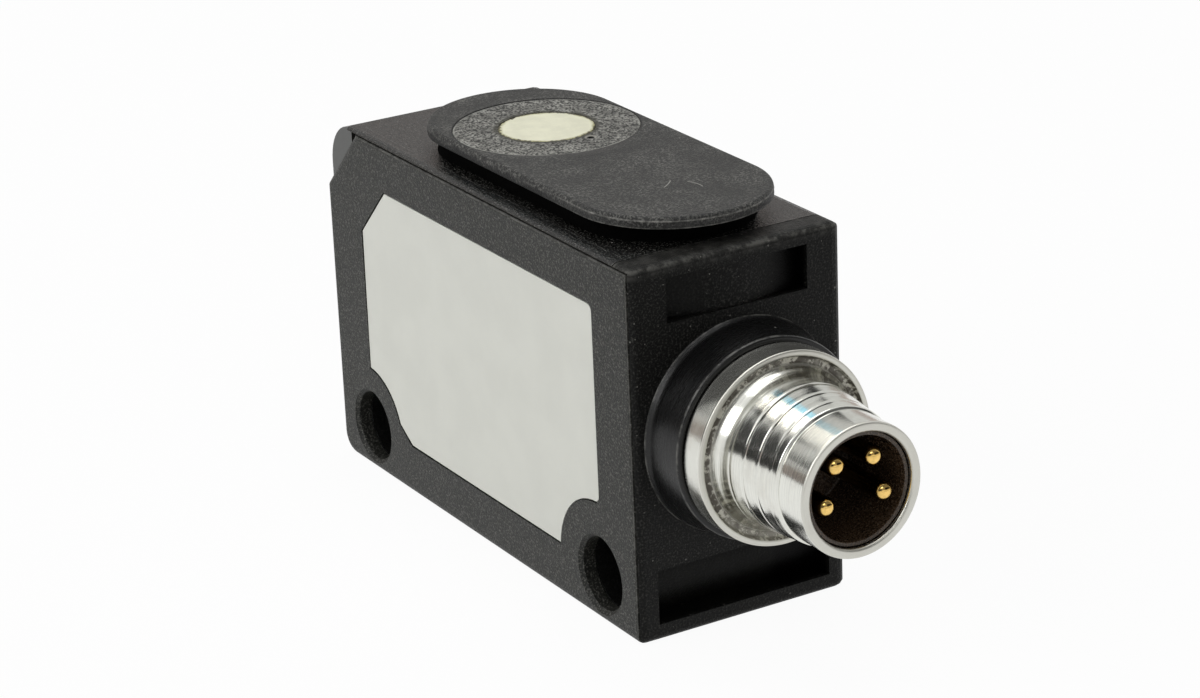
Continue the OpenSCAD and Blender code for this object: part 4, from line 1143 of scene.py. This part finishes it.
def make_card(name, place_x, sides, heights, shade):
    """An upright glowing card across X, from sides and heights in metres, that only mirrors see."""
    material = bpy.data.materials.new(name)
    material.use_nodes = True
    tree = material.node_tree
    tree.nodes.clear()
    glow = add(tree, "ShaderNodeEmission", {"Color": (*shade, 1.0), "Strength": 1.0})
    tree.links.new(glow.outputs[0], tree.nodes.new("ShaderNodeOutputMaterial").inputs[0])
    outline = [(place_x, sides[i], heights[j]) for i, j in ((0, 0), (1, 0), (1, 1), (0, 1))]
    thing = stage_mesh(name, outline, [(0, 1, 2, 3)], material)
    thing.visible_camera = thing.visible_diffuse = False
    thing.visible_shadow = thing.visible_transmission = False


def make_camera(studio):
    """The camera: round its target by azimuth and elevation, then rolled about its own line of sight."""
    azimuth, elevation, roll = studio.azimuth, studio.elevation, studio.roll
    level = math.cos(elevation)
    back = Vector((math.sin(azimuth) * level, -math.cos(azimuth) * level, math.sin(elevation)))
    right = (-back).cross(Vector((0, 0, 1))).normalized()
    up = right.cross(-back)
    rolled_right = math.cos(roll) * right + math.sin(roll) * up
    rolled_up = -math.sin(roll) * right + math.cos(roll) * up
    data = bpy.data.cameras.new("camera")
    data.lens = studio.lens
    data.sensor_width = 36.0
    data.clip_start = 0.005
    data.clip_end = 20.0
    camera = bpy.data.objects.new("camera", data)
    bpy.context.scene.collection.objects.link(camera)
    turn = Matrix((rolled_right, rolled_up, back)).transposed().to_4x4()
    camera.matrix_world = Matrix.Translation(Vector(studio.target) + back * studio.distance) @ turn
    bpy.context.scene.camera = camera


# Place on X, sides, heights and colour. Behind the part are a grey wall with a warm skirting, a dark doorway
# at the left, and a window with blue sky. In front are a pale strip over the floor, a dark shelf, and a dim
# wall with a window above it.
CARDS = {
    "grey_card": (-0.5, (-0.45, 0.9), (0.12, 1.2), (0.70, 0.70, 0.69)),
    "warm_card": (-0.5, (-0.45, 0.9), (0.0, 0.12), (0.46, 0.40, 0.37)),
    "dark_card": (-0.5, (-1.5, -0.45), (0.0, 0.2), (0.03, 0.03, 0.03)),
    "door_card": (-0.49, (-1.5, -0.36), (0.2, 0.58), (0.04, 0.04, 0.04)),
    "window_card": (-0.49, (-0.28, 0.03), (0.47, 0.68), (2.8, 2.7, 2.5)),
    "sky_card": (-0.49, (0.03, 0.14), (0.47, 0.68), (0.50, 1.05, 1.35)),
    "front_card": (0.5, (-2.0, 2.0), (0.0, 0.16), (0.75, 0.74, 0.72)),
    "shelf_card": (0.5, (-2.0, 2.0), (0.16, 0.42), (0.01, 0.01, 0.01)),
    "front_wall_card": (0.5, (-2.0, 2.0), (0.42, 2.0), (0.22, 0.22, 0.22)),
    "front_window_card": (0.49, (-0.5, -0.1), (0.5, 0.8), (3.0, 3.0, 2.9)),
}


class SENSOR_OT_stage(bpy.types.Operator):
    """Set the floor, the lamps and the camera"""

    bl_idname = "sensor.stage"
    bl_label = "Stage"

    def execute(self, context):
        scene = context.scene
        studio = scene.sensor_studio
        scene.view_settings.view_transform = "Standard"
        make_floor(tuple(scene.sensor_finishes.floor))
        make_room(studio.sky)
        middle = (0.002, 0.0, 0.010)
        lamp("key_lamp", studio.key, 0.30, (-0.05, -0.42, 0.30), middle)
        lamp("top_lamp", studio.top, 0.34, (-0.06, 0.02, 0.46), middle)
        lamp("fill_lamp", studio.fill, 0.30, (0.42, -0.10, 0.22), middle)
        for name, values in CARDS.items():
            make_card(name, *values)
        make_camera(studio)
        return {"FINISHED"}


class SENSOR_PT_panel(bpy.types.Panel):
    """The steps of the sensor's looks"""

    bl_idname = "SENSOR_PT_panel"
    bl_label = "Ultrasonic Sensor"
    bl_space_type = "VIEW_3D"
    bl_region_type = "UI"
    bl_category = "Sensor"

    def draw(self, context):
        for operator in OPERATORS:
            self.layout.operator(operator.bl_idname)


SETTINGS = {
    "sensor_plug": PlugSizes, "sensor_pad": PadSizes, "sensor_finishes": Finishes, "sensor_studio": Studio,
}
OPERATORS = [
    SENSOR_OT_housing, SENSOR_OT_label, SENSOR_OT_window, SENSOR_OT_pad, SENSOR_OT_plug,
    SENSOR_OT_inner_parts, SENSOR_OT_stage,
]


def register():
    for kind in [*SETTINGS.values(), *OPERATORS, SENSOR_PT_panel]:
        bpy.utils.register_class(kind)
    for name, kind in SETTINGS.items():
        setattr(bpy.types.Scene, name, PointerProperty(type=kind))


def unregister():
    for name in SETTINGS:
        delattr(bpy.types.Scene, name)
    for kind in reversed([*SETTINGS.values(), *OPERATORS, SENSOR_PT_panel]):
        bpy.utils.unregister_class(kind)


def main():
    register()
    bpy.ops.sensor.housing()
    bpy.ops.sensor.label()
    bpy.ops.sensor.window()
    bpy.ops.sensor.pad()
    bpy.ops.sensor.plug()
    bpy.ops.sensor.inner_parts()
    bpy.ops.sensor.stage()


if __name__ == "__main__":
    main()
